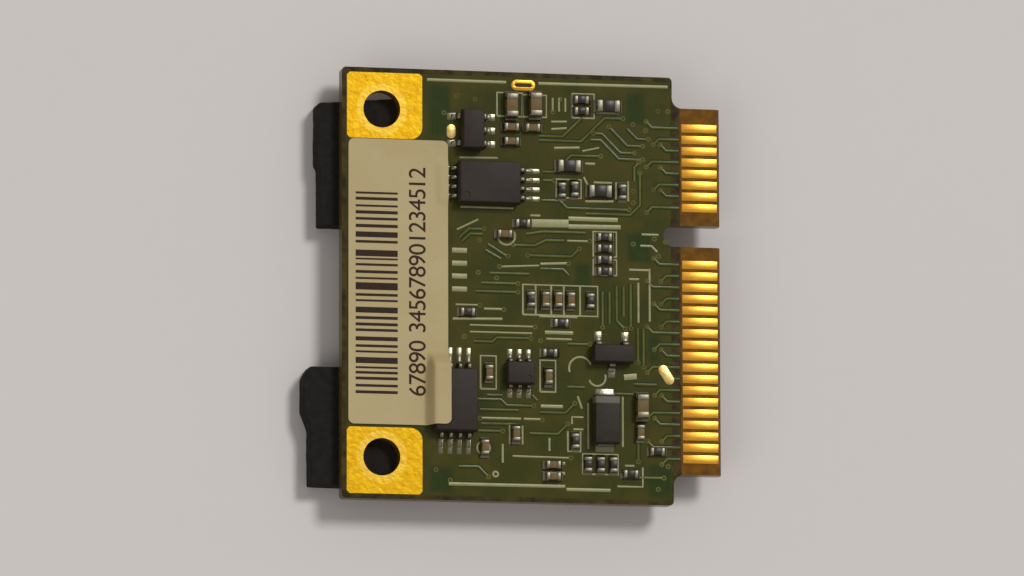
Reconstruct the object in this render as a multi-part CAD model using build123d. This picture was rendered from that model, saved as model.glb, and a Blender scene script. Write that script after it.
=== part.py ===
from build123d import *
import math
import os

os.makedirs("parts", exist_ok=True)

# Half length mini card, label side up, lying on the cover of its shield.
# +X points to the edge contacts, +Z out of the label side.
# The origin is under the middle of the card, at the outer face of the shield cover.

# Circuit board
card_length = 26.8
board_thickness = 1.0
tongue_length = 3.4
tongue_side_step = 2.15
tongue_bevel = 0.2
tongue_root_radius = 0.7
board_corner_radius = 0.3
key_width = 1.5
key_depth = 4.05

# Edge contacts, in a short row above the key and a long row below it
contact_pitch = 0.8
contact_width = 0.58
contact_length = 2.52
contact_setback = 0.22
key_to_first_contact = 2.0
short_row_count = 8
short_row_margin = 1.4
long_row_count = 18
long_row_margin = 1.1

# Plating of contacts, pads and screw holes, and tin on the lands
plating = 0.04
land_thickness = 0.03

# Screw holes and the plated fields round them
hole_radius = 1.3
hole_from_side = 2.9
hole_from_edge = 2.8
field_inset = 0.35
field_length = 5.3
field_width = 4.6
field_corner = 0.2
field_round_corner = 0.85

# Height of the shield side, from the board to the outer face of the cover
shield_height = 1.9

# Antenna jacks, between the foam pads
jack_size = 2.6
jack_base_height = 0.35
jack_base_corner = 0.2
jack_height = 1.25
jack_shell_radius = 1.0
jack_shell_wall = 0.16
jack_recess_depth = 0.15
jack_groove = 0.1
jack_groove_height = 0.45
jack_pin_radius = 0.25
jack_pin_height = 0.85
jack_spacing = 4.8
jack_from_edge = 2.1
jacks_below_middle = 0.875
jack_tab_width = 0.8
jack_tab_reach = 0.25
jack_tab_thickness = 0.1

# Foam pads under the board, from its sides to the jacks
foam_lift = 0.06
foam_reach = 5.2
foam_to_jack = 1.175
foam_corner_radius = 0.3
upper_foam_overhang = 1.55
upper_foam_from_side = 1.8
upper_foam_slant = 0.6
upper_foam_step = 0.2
upper_foam_step_at = 4.9
lower_foam_overhang = 2.0
lower_foam_from_side = 0.95
lower_foam_bulge = 0.47
lower_foam_bulge_from = 0.8
lower_foam_bulge_to = 3.1
lower_foam_bulge_end = 4.4

# Paper label
label_inset = 0.45
label_to_memory_chip = 0.6
label_from_upper_side = 5.0
label_from_lower_side = 5.15
label_thickness = 0.08
label_corner_radius = 0.4
label_ramp = 1.0
label_chip_ramp = 1.3
label_feet_ramp = 0.5
label_clearance = 0.01

# Leaded packages
lead_thickness = 0.13
lead_rise_share = 0.45
lead_shoulder_share = 0.3
lead_foot_share = 0.42
body_standoff = 0.1
mould_draft = 8
dot_depth = 0.1
dot_margin = 0.3
land_side_margin = 0.05

# Moulded polar capacitor
polar_length = 3.4
polar_width = 1.85
polar_height = 1.1
polar_chamfer = 0.08
polar_terminal_thickness = 0.12
polar_terminal_width = 1.2
polar_foot_length = 0.8
polar_land_margin = 0.5

# Two terminal chips, each as length, width and height
small_capacitor = (1.0, 0.5, 0.5)
large_capacitor = (1.6, 0.8, 0.75)
small_resistor = (1.0, 0.5, 0.35)
large_resistor = (1.6, 0.8, 0.45)
end_length_share = 0.24
body_inset = 0.02

# Shield
sheet = 0.15
shield_to_foam = 0.9
shield_to_tongue = 1.0
shield_side_margin = 1.3
shield_corner_radius = 0.5
cover_skirt = 1.2
cover_clearance = 0.02
corner_relief = 0.5
frame_flange = 0.6
frame_bar = 1.4
frame_window_corner = 0.4
snap_length = 0.9
snap_height = 0.4
snap_depth = 0.08
snap_clearance = 0.06
snap_from_skirt_edge = 0.45
snap_share = 0.28

# Pieces inside the shield
radio_size = 9.0
radio_height = 0.85
radio_pad_pitch = 0.8
radio_pads_a_side = 10
radio_pad_length = 0.5
radio_pad_width = 0.3
radio_pad_proud = 0.15
crystal_length = 3.2
crystal_width = 2.5
crystal_tray_height = 0.5
crystal_lid_height = 0.2
crystal_lid_inset = 0.2
amplifier_size = 3.0
amplifier_height = 0.75
antenna_switch_size = 1.5
antenna_switch_height = 0.5
coil_length = 2.0
coil_width = 1.6
coil_height = 0.9

# Bare plated pads
ring_pad_length = 1.7
ring_pad_width = 0.75
ring_pad_wall = 0.25
oval_pad_length = 1.0
oval_pad_width = 0.65
slant_pad_length = 1.5
slant_pad_width = 0.68
slant_pad_turn = -57

# Places worked out from the sizes above
short_row_side = key_to_first_contact + (short_row_count - 1) * contact_pitch + short_row_margin
long_row_side = key_to_first_contact + (long_row_count - 1) * contact_pitch + long_row_margin
tongue_width = short_row_side + long_row_side
card_width = tongue_width + 2 * tongue_side_step
key_y = tongue_width / 2 - short_row_side
body_length = card_length - tongue_length
widest_overhang = lower_foam_overhang + lower_foam_bulge
left = (widest_overhang - card_length) / 2
right = left + card_length
root = left + body_length
side = card_width / 2
under = shield_height
top = under + board_thickness
foam_top = under - plating
jack_middle = -jacks_below_middle
jack_reach = (jack_spacing + jack_size) / 2
jack_floor = jack_base_height - jack_recess_depth
upper_foam_high = side - upper_foam_from_side
upper_foam_low = jack_middle + jack_reach + foam_to_jack
lower_foam_high = jack_middle - jack_reach - foam_to_jack
lower_foam_low = -side + lower_foam_from_side

# Places on the board are counted in steps from its left edge and its centre line,
# so that what sits on it spreads with it. A step is 0.1 mm on the card's own size.
step_x = body_length / 234
step_y = card_width / 300


def spot(x, y, turn=0):
    """Place on the label side, with X and Y in steps."""
    return Pos(left + x * step_x, y * step_y, top) * Rot(0, 0, turn)


def group(solids):
    """Like pieces as one group of separate solids."""
    return Compound(children=list(solids))


def near(value, target):
    return abs(value - target) < 1e-6


def block(size_x, size_y, height):
    """Upright block standing on z = 0."""
    return Box(size_x, size_y, height, align=(Align.CENTER, Align.CENTER, Align.MIN))


# Circuit board

def board_outline():
    """Card outline with the contact tongue and its key notch."""
    body = Pos(left + body_length / 2, 0) * RectangleRounded(body_length, card_width, board_corner_radius)
    overlap = tongue_root_radius * 2
    tongue_middle = root + (tongue_length - overlap) / 2
    tongue = Pos(tongue_middle, 0) * Rectangle(tongue_length + overlap, tongue_width)
    outline = body + tongue
    roots = [v for v in outline.vertices() if near(v.X, root) and near(abs(v.Y), tongue_width / 2)]
    outline = fillet(roots, tongue_root_radius)
    notch = Pos(right, key_y) * SlotCenterToCenter(2 * (key_depth - key_width / 2), key_width)
    return outline - notch


def screw_hole_places():
    """Upper hole first."""
    return [Pos(left + hole_from_edge, way * (side - hole_from_side)) for way in (1, -1)]


def circuit_board():
    board = Pos(0, 0, under) * extrude(board_outline(), board_thickness)
    nose = [edge for edge in board.edges().filter_by(Axis.Y) if near(edge.center().X, right)]
    board = chamfer(nose, tongue_bevel)
    for place in screw_hole_places():
        board -= place * Pos(0, 0, top) * Cylinder(hole_radius + plating, 3 * board_thickness)
    return board


# Edge contacts

def contact_rows(shift):
    """Centre lines of the two rows, moved up by shift."""
    short_row = [key_y + key_to_first_contact + shift + i * contact_pitch for i in range(short_row_count)]
    long_row = [key_y - key_to_first_contact + shift - i * contact_pitch for i in range(long_row_count)]
    return short_row + long_row


def contact():
    """One contact, lying on z = 0."""
    middle = right - contact_setback - contact_length / 2
    return Pos(middle, 0) * block(contact_length, contact_width, plating)


def edge_contacts(height, shift):
    one = contact()
    return group(Pos(0, y, height) * one for y in contact_rows(shift))


# Plated screw holes

def field_outline():
    """Plated field of the upper hole, from the card's corner inwards."""
    centre_x = left + field_inset + field_length / 2
    centre_y = side - field_inset - field_width / 2
    field = Pos(centre_x, centre_y) * Rectangle(field_length, field_width)
    corners = field.vertices().sort_by(Axis.X)
    outer = corners[:2]
    inner = corners[2:].sort_by(Axis.Y)
    field = fillet(inner[0], field_round_corner)
    square = [v for v in field.vertices() if near(v.X, outer[0].X) or near(v.Y, inner[1].Y)]
    return chamfer(square, field_corner)


def screw_plating(place):
    """Plated field on both faces of the board, joined by the barrel of the hole."""
    field = field_outline()
    faces = Pos(0, 0, top) * extrude(field, plating)
    faces += Pos(0, 0, under - plating) * extrude(field, plating)
    barrel = place * Pos(0, 0, (under + top) / 2) * Cylinder(hole_radius + plating, board_thickness)
    hole = place * Pos(0, 0, (under + top) / 2) * Cylinder(hole_radius, 3 * board_thickness)
    return faces + barrel - hole


# Foam pads

def foam(points):
    """Pad of foam with the given outline, from the plated field down."""
    flat = make_face(Polyline(*points, close=True))
    flat = fillet(flat.vertices().sort_by(Axis.X)[:2], foam_corner_radius)
    return Pos(0, 0, foam_lift) * extrude(flat, foam_top - foam_lift)


def foam_pad_upper():
    """Slanted at its far end, with a small step in its free edge."""
    outer = left - upper_foam_overhang
    step = upper_foam_high - upper_foam_step_at
    points = [
        (left + foam_reach, upper_foam_high),
        (outer, upper_foam_high - upper_foam_slant),
        (outer, step),
        (outer + upper_foam_step, step - upper_foam_step),
        (outer + upper_foam_step, upper_foam_low),
        (left + foam_reach, upper_foam_low),
    ]
    return foam(points)


def foam_pad_lower():
    """Bulges at its inner half."""
    outer = left - lower_foam_overhang
    bulge = outer - lower_foam_bulge
    points = [
        (left + foam_reach, lower_foam_high),
        (outer, lower_foam_high),
        (bulge, lower_foam_high - lower_foam_bulge_from),
        (bulge, lower_foam_high - lower_foam_bulge_to),
        (outer, lower_foam_high - lower_foam_bulge_end),
        (outer, lower_foam_low),
        (left + foam_reach, lower_foam_low),
    ]
    return foam(points)


# Leaded packages

def moulded_body(size_x, size_y, height, lead_rise, dot_radius=0):
    """Moulded body with draft above and below a straight band at the leads.

    The board is at z = 0. A dot marks the first lead, where the package has one."""
    low = lead_rise - lead_thickness / 2
    high = lead_rise + lead_thickness / 2
    outline = Rectangle(size_x, size_y)
    body = Pos(0, 0, low) * extrude(outline, lead_thickness)
    body += Pos(0, 0, high) * extrude(outline, height - high, taper=mould_draft)
    body += Pos(0, 0, low) * extrude(outline, body_standoff - low, taper=mould_draft)
    if dot_radius:
        inset = dot_radius + dot_margin
        mark = Pos(inset - size_x / 2, inset - size_y / 2, height)
        body -= mark * Cylinder(dot_radius, 2 * dot_depth)
    return body


def gull_lead(reach, rise, width):
    """Lead that leaves the body at x = 0, steps down and ends in a flat foot.

    Its bends are mitred, so that it keeps its thickness on the slope."""
    half = lead_thickness / 2
    foot = land_thickness + half
    shoulder_x = lead_shoulder_share * reach
    foot_x = lead_foot_share * reach
    slope = math.atan2(rise - foot, foot_x - shoulder_x)
    mitre = half * math.tan(slope / 2)
    profile = Polyline(
        (0, rise + half),
        (shoulder_x + mitre, rise + half),
        (foot_x + mitre, foot + half),
        (reach, foot + half),
        (reach, foot - half),
        (foot_x - mitre, foot - half),
        (shoulder_x - mitre, rise - half),
        (0, rise - half),
        close=True,
    )
    return Rot(90, 0, 0) * extrude(make_face(profile), width / 2, both=True)


def lead_places(count, pitch, edge):
    """Places of one row of leads along the side at x = edge."""
    return [Pos(edge, (i - (count - 1) / 2) * pitch) for i in range(count)]


def land(reach, width, margin):
    """Tinned land under a lead's foot, which it passes by the margin."""
    start = lead_foot_share * reach
    length = reach + margin - start
    flat = block(length, width + 2 * land_side_margin, land_thickness)
    return Pos(start + length / 2, 0, 0) * flat


class Package:
    """Sizes of one leaded package, with its rows of leads along the sides at +x and -x."""

    def __init__(self, size_x, size_y, height, dot_radius=0):
        self.size_x = size_x
        self.size_y = size_y
        self.height = height
        self.dot_radius = dot_radius
        self.lead_rise = lead_rise_share * height

    def set_leads(self, reach, width, land_margin):
        self.lead_reach = reach
        self.lead_width = width
        self.land_margin = land_margin

    def set_rows(self, right_count, right_pitch, left_count, left_pitch):
        self.rows = [(right_count, right_pitch, 0), (left_count, left_pitch, 180)]

    def body(self):
        return moulded_body(self.size_x, self.size_y, self.height, self.lead_rise, self.dot_radius)

    def along_rows(self, piece):
        placed = []
        for count, pitch, turn in self.rows:
            for place in lead_places(count, pitch, self.size_x / 2):
                placed.append(Rot(0, 0, turn) * place * piece)
        return placed

    def leads(self):
        return self.along_rows(gull_lead(self.lead_reach, self.lead_rise, self.lead_width))

    def lands(self):
        return self.along_rows(land(self.lead_reach, self.lead_width, self.land_margin))


eight_lead = Package(size_x=4.4, size_y=3.0, height=1.1, dot_radius=0.24)
eight_lead.set_leads(reach=1.0, width=0.24, land_margin=0.5)
eight_lead.set_rows(right_count=4, right_pitch=0.65, left_count=4, left_pitch=0.65)

five_lead = Package(size_x=1.6, size_y=2.8, height=1.1)
five_lead.set_leads(reach=0.6, width=0.38, land_margin=0.3)
five_lead.set_rows(right_count=3, right_pitch=0.95, left_count=2, left_pitch=1.9)

six_lead = Package(size_x=1.6, size_y=2.0, height=0.95, dot_radius=0.16)
six_lead.set_leads(reach=0.5, width=0.25, land_margin=0.4)
six_lead.set_rows(right_count=3, right_pitch=0.65, left_count=3, left_pitch=0.65)

three_lead = Package(size_x=1.3, size_y=2.9, height=1.0)
three_lead.set_leads(reach=0.55, width=0.42, land_margin=0.4)
three_lead.set_rows(right_count=2, right_pitch=1.9, left_count=1, left_pitch=1.9)

memory_place = spot(102.5, 71)
switch_place = spot(79, -81, 90)
regulator_place = spot(91, 108)
logic_place = spot(124.5, -61, 90)
transistor_place = spot(190, -46, 90)

leaded = [
    ("memory_chip", eight_lead, memory_place),
    ("switch_chip", eight_lead, switch_place),
    ("regulator", five_lead, regulator_place),
    ("logic_chip", six_lead, logic_place),
    ("transistor", three_lead, transistor_place),
]


def placed(place, solids):
    """Several solids at one place."""
    return group(place * solid for solid in solids)


def placed_at(places, solid):
    """One solid at several places."""
    return group(place * solid for place in places)


# Moulded polar capacitor

polar_place = spot(185, -92, 90)


def polar_capacitor_body():
    body = moulded_body(polar_length, polar_width, polar_height, polar_height / 2)
    upper = body.edges().group_by(Axis.Z)[-1]
    return chamfer(upper, polar_chamfer)


def polar_capacitor_terminals():
    """Strips that leave the ends of the body, fold down and lie under it."""
    profile = Polyline(
        (polar_terminal_thickness, land_thickness),
        (polar_terminal_thickness, polar_height / 2),
        (0, polar_height / 2),
        (0, body_standoff),
        (-polar_foot_length, body_standoff),
        (-polar_foot_length, land_thickness),
        close=True,
    )
    strip = Rot(90, 0, 0) * extrude(make_face(profile), polar_terminal_width / 2, both=True)
    strip = Pos(polar_length / 2, 0) * strip
    return [strip, Rot(0, 0, 180) * strip]


def polar_capacitor_lands():
    length = polar_foot_length + polar_land_margin
    middle = polar_length / 2 - polar_foot_length + length / 2
    one = Pos(middle, 0, 0) * block(length, polar_terminal_width + 2 * land_side_margin, land_thickness)
    return [one, Rot(0, 0, 180) * one]


# Two terminal chips

def chip_body(length, width, height):
    """Ceramic body between the end terminals."""
    middle = length * (1 - 2 * end_length_share)
    return Pos(0, 0, body_inset) * block(middle, width - 2 * body_inset, height - 2 * body_inset)


def chip_ends(length, width, height):
    """The two plated end terminals."""
    end = length * end_length_share
    one = Pos(length / 2 - end / 2, 0, 0) * block(end, width, height)
    return [one, Rot(0, 0, 180) * one]


def chips(places, size):
    bodies = [place * chip_body(*size) for place in places]
    ends = [place * end for place in places for end in chip_ends(*size)]
    return bodies, ends


large_capacitor_places = [
    spot(119, 126, 90),
    spot(136, 127, 90),
    spot(211, -82, 90),
]
small_capacitor_places = [
    spot(119, 111),
    spot(134, 111),
    spot(119, 101),
    spot(103, -61, 90),
    spot(145, -63, 90),
    spot(100, -113, 90),
    spot(122, -103, 90),
    spot(148, -124),
    spot(148, -132),
    spot(114, 36),
    spot(143, -9, 90),
    spot(152, -9, 90),
    spot(161, -9, 90),
    spot(210, -100, 90),
]
large_resistor_places = [
    spot(160, 85),
    spot(182, 68),
    spot(188, 128),
]
small_resistor_places = [
    spot(133, -9, 90),
    spot(175, -9, 90),
    spot(154, -25),
    spot(146, -46),
    spot(185, 36),
    spot(185, 28),
    spot(185, 20),
    spot(185, 12),
    spot(169, 132),
    spot(169, 124),
    spot(155, 68, 90),
    spot(164, 69, 90),
    spot(198, 68, 90),
    spot(127, 44),
    spot(88, -19),
    spot(164, -107, 90),
    spot(173, -123, 90),
    spot(182, -123, 90),
    spot(191, -123, 90),
    spot(203, -129),
    spot(222, -113),
]


# Test pads

def test_pads():
    """Bare pads, with the plated ring at the upper edge."""
    ring = SlotOverall(ring_pad_length, ring_pad_width)
    ring -= SlotOverall(ring_pad_length - 2 * ring_pad_wall, ring_pad_width - 2 * ring_pad_wall)
    oval = SlotOverall(oval_pad_length, oval_pad_width, rotation=90)
    slant = SlotOverall(slant_pad_length, slant_pad_width, rotation=slant_pad_turn)
    flats = [spot(128, 141) * ring, spot(77, 107) * oval, spot(229, -59) * slant]
    return [extrude(flat, plating) for flat in flats]


# Label

def label_section(y, start, crest, lift):
    """Cross section of the sheet at y: flat up to start, then rising by lift up to crest."""
    low = [(left, 0), (start, 0), (crest, lift), (right, lift)]
    high = [(x, z + label_thickness) for x, z in reversed(low)]
    level = top + land_thickness + label_clearance
    points = [(x, y, level + z) for x, z in low + high]
    return make_face(Polyline(*points, close=True))


def product_label():
    """Paper sheet that drapes over the leads of one chip and over half of another."""
    feet = memory_place.position.X - eight_lead.size_x / 2 - eight_lead.lead_reach
    feet_high = memory_place.position.Y + eight_lead.size_y / 2
    feet_low = memory_place.position.Y - eight_lead.size_y / 2
    feet_start = feet - label_feet_ramp
    chip_left = switch_place.position.X - eight_lead.size_y / 2
    chip_high = switch_place.position.Y + eight_lead.size_x / 2
    sections = [
        label_section(side, feet_start, feet, 0),
        label_section(feet_high + label_feet_ramp, feet_start, feet, 0),
        label_section(feet_high, feet_start, feet, lead_thickness),
        label_section(feet_low, feet_start, feet, lead_thickness),
        label_section(feet_low - label_feet_ramp, feet_start, feet, 0),
        label_section(chip_high + label_chip_ramp, chip_left - label_ramp, chip_left, 0),
        label_section(chip_high, chip_left - label_ramp, chip_left, eight_lead.height),
        label_section(-side, chip_left - label_ramp, chip_left, eight_lead.height),
    ]
    draped = loft(sections, ruled=True)
    label_left = left + label_inset
    label_right = memory_place.position.X - eight_lead.size_x / 2 - label_to_memory_chip
    label_high = side - label_from_upper_side
    label_low = -side + label_from_lower_side
    middle = Pos((label_left + label_right) / 2, (label_high + label_low) / 2)
    outline = RectangleRounded(label_right - label_left, label_high - label_low, label_corner_radius)
    outline = middle * outline
    return draped & (Pos(0, 0, top) * extrude(outline, 3 * eight_lead.height))


# Shield

shield_left = left + foam_reach + shield_to_foam
shield_right = root - shield_to_tongue
shield_length = shield_right - shield_left
shield_width = card_width - 2 * shield_side_margin
shield_middle = (shield_left + shield_right) / 2
frame_length = shield_length - 2 * (sheet + cover_clearance)
frame_width = shield_width - 2 * (sheet + cover_clearance)
frame_bottom = sheet + cover_clearance
cavity_length = frame_length - 2 * sheet
cavity_width = frame_width - 2 * sheet


def snap_places():
    """Centres of the snaps on the frame's outer face, with Z pointing outwards."""
    height = cover_skirt - snap_from_skirt_edge
    places = []
    for way in (-snap_share, snap_share):
        end = Pos(frame_length / 2, way * frame_width, height) * Rot(0, 90, 0)
        flank = Pos(frame_width / 2, way * frame_length, height) * Rot(0, 90, 0)
        places += [Rot(0, 0, turn) * end for turn in (0, 180)]
        places += [Rot(0, 0, turn) * flank for turn in (90, 270)]
    return places


def shield_frame():
    """Fence with an inner flange and a bar across it, and holes for the snaps."""
    height = under - frame_bottom
    fence = extrude(RectangleRounded(frame_length, frame_width, shield_corner_radius), height)
    fence -= block(cavity_length, cavity_width, 3 * height)
    rim = RectangleRounded(frame_length - sheet, frame_width - sheet, shield_corner_radius)
    window_length = cavity_length - 2 * frame_flange
    window_width = (cavity_width - 2 * frame_flange - frame_bar) / 2
    window = Rectangle(window_length, window_width)
    window = chamfer(window.vertices(), frame_window_corner)
    for way in (-1, 1):
        rim -= Pos(0, way * (frame_bar + window_width) / 2) * window
    fence += extrude(rim, sheet)
    hole = Box(snap_height + 2 * snap_clearance, snap_length + 2 * snap_clearance, 4 * sheet)
    for place in snap_places():
        fence -= Pos(0, 0, -frame_bottom) * place * hole
    return Pos(shield_middle, 0, frame_bottom) * fence


def shield_cover():
    """Lid with a skirt that is slit at the corners and snaps into the frame."""
    outer = RectangleRounded(shield_length, shield_width, shield_corner_radius)
    inner = RectangleRounded(
        shield_length - 2 * sheet, shield_width - 2 * sheet, shield_corner_radius - sheet
    )
    lid = extrude(outer, cover_skirt)
    lid -= Pos(0, 0, sheet) * extrude(inner, cover_skirt)
    corner_x = shield_length / 2
    corner_y = shield_width / 2
    for x in (-corner_x, corner_x):
        for y in (-corner_y, corner_y):
            lid -= Pos(x, y, 2 * sheet) * block(2 * corner_relief, 2 * corner_relief, cover_skirt)
    bump = Box(snap_height, snap_length, snap_depth + cover_clearance)
    bump = Pos(0, 0, (cover_clearance - snap_depth) / 2) * bump
    dent = Box(snap_height - snap_clearance, snap_length - snap_clearance, 2 * snap_depth)
    dent = Pos(0, 0, cover_clearance + sheet) * dent
    for place in snap_places():
        lid = lid + place * bump - place * dent
    return Pos(shield_middle, 0, 0) * lid


# Antenna jacks, built standing up and then turned over under the board

def jack_places():
    """Places of the jacks on the shield side of the board."""
    centres = [jack_middle + way * jack_spacing / 2 for way in (1, -1)]
    return [Pos(left + jack_from_edge, y, under) * Rot(180, 0, 0) for y in centres]


def upright(radius, height):
    return Cylinder(radius, height, align=(Align.CENTER, Align.CENTER, Align.MIN))


def jack_base():
    """Moulded base with a round recess, in which the shell and the pin stand."""
    base = extrude(RectangleRounded(jack_size, jack_size, jack_base_corner), jack_base_height)
    recess = upright(jack_shell_radius, jack_base_height)
    return base - Pos(0, 0, jack_floor) * recess


def jack_shell():
    """Turned ring with a snap groove below its lip."""
    inside = jack_shell_radius - jack_shell_wall
    groove_low = jack_height - jack_groove_height
    profile = Polyline(
        (inside, jack_floor),
        (jack_shell_radius, jack_floor),
        (jack_shell_radius, groove_low),
        (jack_shell_radius - jack_groove, groove_low + jack_groove),
        (jack_shell_radius, jack_height),
        (inside, jack_height),
        close=True,
    )
    return revolve(Plane.XZ * make_face(profile), Axis.Z)


def jack_pin():
    return Pos(0, 0, jack_floor) * upright(jack_pin_radius, jack_pin_height - jack_floor)


def jack_tabs():
    """Solder tabs of one jack, two for the shell and one for the pin."""
    tab = block(jack_tab_reach, jack_tab_width, jack_tab_thickness)
    tab = Pos((jack_size + jack_tab_reach) / 2, 0, 0) * tab
    return [Rot(0, 0, turn) * tab for turn in (0, 90, 270)]


# Pieces inside the shield

def inside(across, along, turn=0):
    """Place on the shield side, in shares of the cavity's half length and half width."""
    x = shield_middle + across * cavity_length / 2
    y = along * cavity_width / 2
    return Pos(x, y, under) * Rot(180, 0, 0) * Rot(0, 0, turn)


radio_place = inside(0.05, 0.42)


def flat_chip(size, height):
    """Square sawn chip, standing on its terminals."""
    return Pos(0, 0, land_thickness) * block(size, size, height - land_thickness)


def radio_chip_pads():
    """Terminals round the lower edge of the radio chip."""
    pad = block(radio_pad_length, radio_pad_width, land_thickness)
    row = lead_places(radio_pads_a_side, radio_pad_pitch, (radio_size - radio_pad_length) / 2)
    pads = []
    for turn in (0, 90, 180, 270):
        for place in row:
            pads.append(Rot(0, 0, turn) * place * Pos(radio_pad_proud, 0) * pad)
    return pads


crystal_place = inside(0.55, -0.2, 90)
amplifier_places = [inside(-0.5, -0.3), inside(-0.5, -0.72)]
antenna_switch_places = [inside(-0.8, -0.12), inside(-0.8, -0.52)]
inner_coil_places = [inside(0.0, -0.3, 90), inside(0.0, -0.55, 90), inside(0.0, -0.8, 90)]
inner_capacitor_places = [inside(0.25, -0.45 - 0.12 * i) for i in range(4)]
inner_capacitor_places += [inside(-0.75 + 0.2 * i, 0.87) for i in range(7)]
inner_resistor_places = [inside(0.6, -0.5 - 0.11 * i) for i in range(4)]

# The second column of resistors stands midway between the fence and the radio chip
column_x = (shield_middle - cavity_length / 2 + radio_place.position.X - radio_size / 2) / 2
column_share = (column_x - shield_middle) / (cavity_length / 2)
inner_resistor_places += [inside(column_share, 0.2 + 0.12 * i) for i in range(4)]


def crystal():
    """Ceramic tray with a narrower metal lid."""
    tray = block(crystal_length, crystal_width, crystal_tray_height)
    lid_length = crystal_length - 2 * crystal_lid_inset
    lid_width = crystal_width - 2 * crystal_lid_inset
    return tray + Pos(0, 0, crystal_tray_height) * block(lid_length, lid_width, crystal_lid_height)


def amplifier():
    return flat_chip(amplifier_size, amplifier_height)


def antenna_switch():
    return flat_chip(antenna_switch_size, antenna_switch_height)


def coil():
    return block(coil_length, coil_width, coil_height)


def write(name, shape):
    export_step(shape, "parts/" + name + ".step")


def write_all():
    write("circuit_board", circuit_board())
    write("contacts_label_side", edge_contacts(top, 0))
    write("contacts_shield_side", edge_contacts(under - plating, contact_pitch / 2))
    upper, lower = screw_hole_places()
    plated = screw_plating(upper)
    write("screw_plating_upper", plated)
    write("screw_plating_lower", mirror(plated, Plane.XZ))
    write("foam_pad_upper", foam_pad_upper())
    write("foam_pad_lower", foam_pad_lower())
    write("product_label", product_label())
    lands = []
    for name, package, place in leaded:
        write(name + "_body", place * package.body())
        write(name + "_leads", placed(place, package.leads()))
        lands += [place * piece for piece in package.lands()]
    lands += [polar_place * piece for piece in polar_capacitor_lands()]
    write("chip_lands", group(lands))
    write("polar_capacitor_body", polar_place * polar_capacitor_body())
    write("polar_capacitor_terminals", placed(polar_place, polar_capacitor_terminals()))
    bodies, ends = chips(small_capacitor_places, small_capacitor)
    more_bodies, more_ends = chips(large_capacitor_places, large_capacitor)
    write("capacitor_bodies", group(bodies + more_bodies))
    write("capacitor_terminals", group(ends + more_ends))
    bodies, ends = chips(small_resistor_places, small_resistor)
    more_bodies, more_ends = chips(large_resistor_places, large_resistor)
    write("resistor_bodies", group(bodies + more_bodies))
    write("resistor_terminals", group(ends + more_ends))
    write("test_pads", group(test_pads()))
    write("shield_frame", shield_frame())
    write("shield_cover", shield_cover())
    write("jack_bases", placed_at(jack_places(), jack_base()))
    write("jack_shells", placed_at(jack_places(), jack_shell()))
    write("jack_pins", placed_at(jack_places(), jack_pin()))
    write("jack_tabs", group(place * tab for place in jack_places() for tab in jack_tabs()))
    write("radio_chip_body", radio_place * flat_chip(radio_size, radio_height))
    write("radio_chip_pads", placed(radio_place, radio_chip_pads()))
    write("crystal", crystal_place * crystal())
    write("amplifier_chips", placed_at(amplifier_places, amplifier()))
    write("antenna_switches", placed_at(antenna_switch_places, antenna_switch()))
    write("inner_coils", placed_at(inner_coil_places, coil()))
    bodies, ends = chips(inner_capacitor_places, small_capacitor)
    write("inner_capacitor_bodies", group(bodies))
    write("inner_capacitor_terminals", group(ends))
    bodies, ends = chips(inner_resistor_places, small_resistor)
    write("inner_resistor_bodies", group(bodies))
    write("inner_resistor_terminals", group(ends))


write_all()
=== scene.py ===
import math

import bmesh
import bpy
from mathutils import Matrix, Vector, noise


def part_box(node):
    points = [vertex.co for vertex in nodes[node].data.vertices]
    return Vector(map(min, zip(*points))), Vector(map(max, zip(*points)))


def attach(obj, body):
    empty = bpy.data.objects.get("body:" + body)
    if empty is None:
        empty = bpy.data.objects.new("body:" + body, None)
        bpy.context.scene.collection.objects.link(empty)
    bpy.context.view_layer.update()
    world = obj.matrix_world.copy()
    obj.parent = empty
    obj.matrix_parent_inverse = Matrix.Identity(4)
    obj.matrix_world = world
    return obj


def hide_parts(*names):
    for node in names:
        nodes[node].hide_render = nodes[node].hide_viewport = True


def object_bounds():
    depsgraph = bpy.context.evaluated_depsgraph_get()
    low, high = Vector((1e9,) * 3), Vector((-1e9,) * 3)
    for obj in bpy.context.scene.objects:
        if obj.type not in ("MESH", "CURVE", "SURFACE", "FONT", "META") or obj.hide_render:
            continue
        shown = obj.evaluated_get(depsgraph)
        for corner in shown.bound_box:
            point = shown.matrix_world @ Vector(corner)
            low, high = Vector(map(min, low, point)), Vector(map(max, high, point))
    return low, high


bl_info = {
    "name": "Laptop wifi card",
    "version": (1, 0, 0),
    "blender": (4, 5, 0),
    "location": "3D Viewport > Sidebar > Wifi card",
    "description": "Gives the packed card its finishes, copper, print, solder, label and foam",
    "category": "Object",
}

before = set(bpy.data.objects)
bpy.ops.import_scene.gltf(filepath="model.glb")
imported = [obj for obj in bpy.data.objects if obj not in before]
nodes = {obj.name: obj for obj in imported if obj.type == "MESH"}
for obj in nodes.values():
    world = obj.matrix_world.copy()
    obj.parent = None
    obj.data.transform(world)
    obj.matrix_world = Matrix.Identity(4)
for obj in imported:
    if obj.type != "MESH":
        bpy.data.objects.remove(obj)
cad_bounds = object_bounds()

MM = 0.001
board_low, board_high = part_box("circuit_board")
board_left = board_low.x
board_top = board_high.z
contacts_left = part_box("contacts_label_side")[0].x


def tone(red, green, blue):
    """Linear colour of a screen colour given in steps of 255."""
    shares = [step / 255 for step in (red, green, blue)]
    return tuple(s / 12.92 if s <= 0.04045 else ((s + 0.055) / 1.055) ** 2.4 for s in shares)


def on_board(x, y, z=0.0):
    """Place on the label side, in millimetres from the board's left edge and its centre line."""
    return Vector((board_left + x * MM, y * MM, board_top + z * MM))


# Sizes and colours that a user would change

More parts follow.
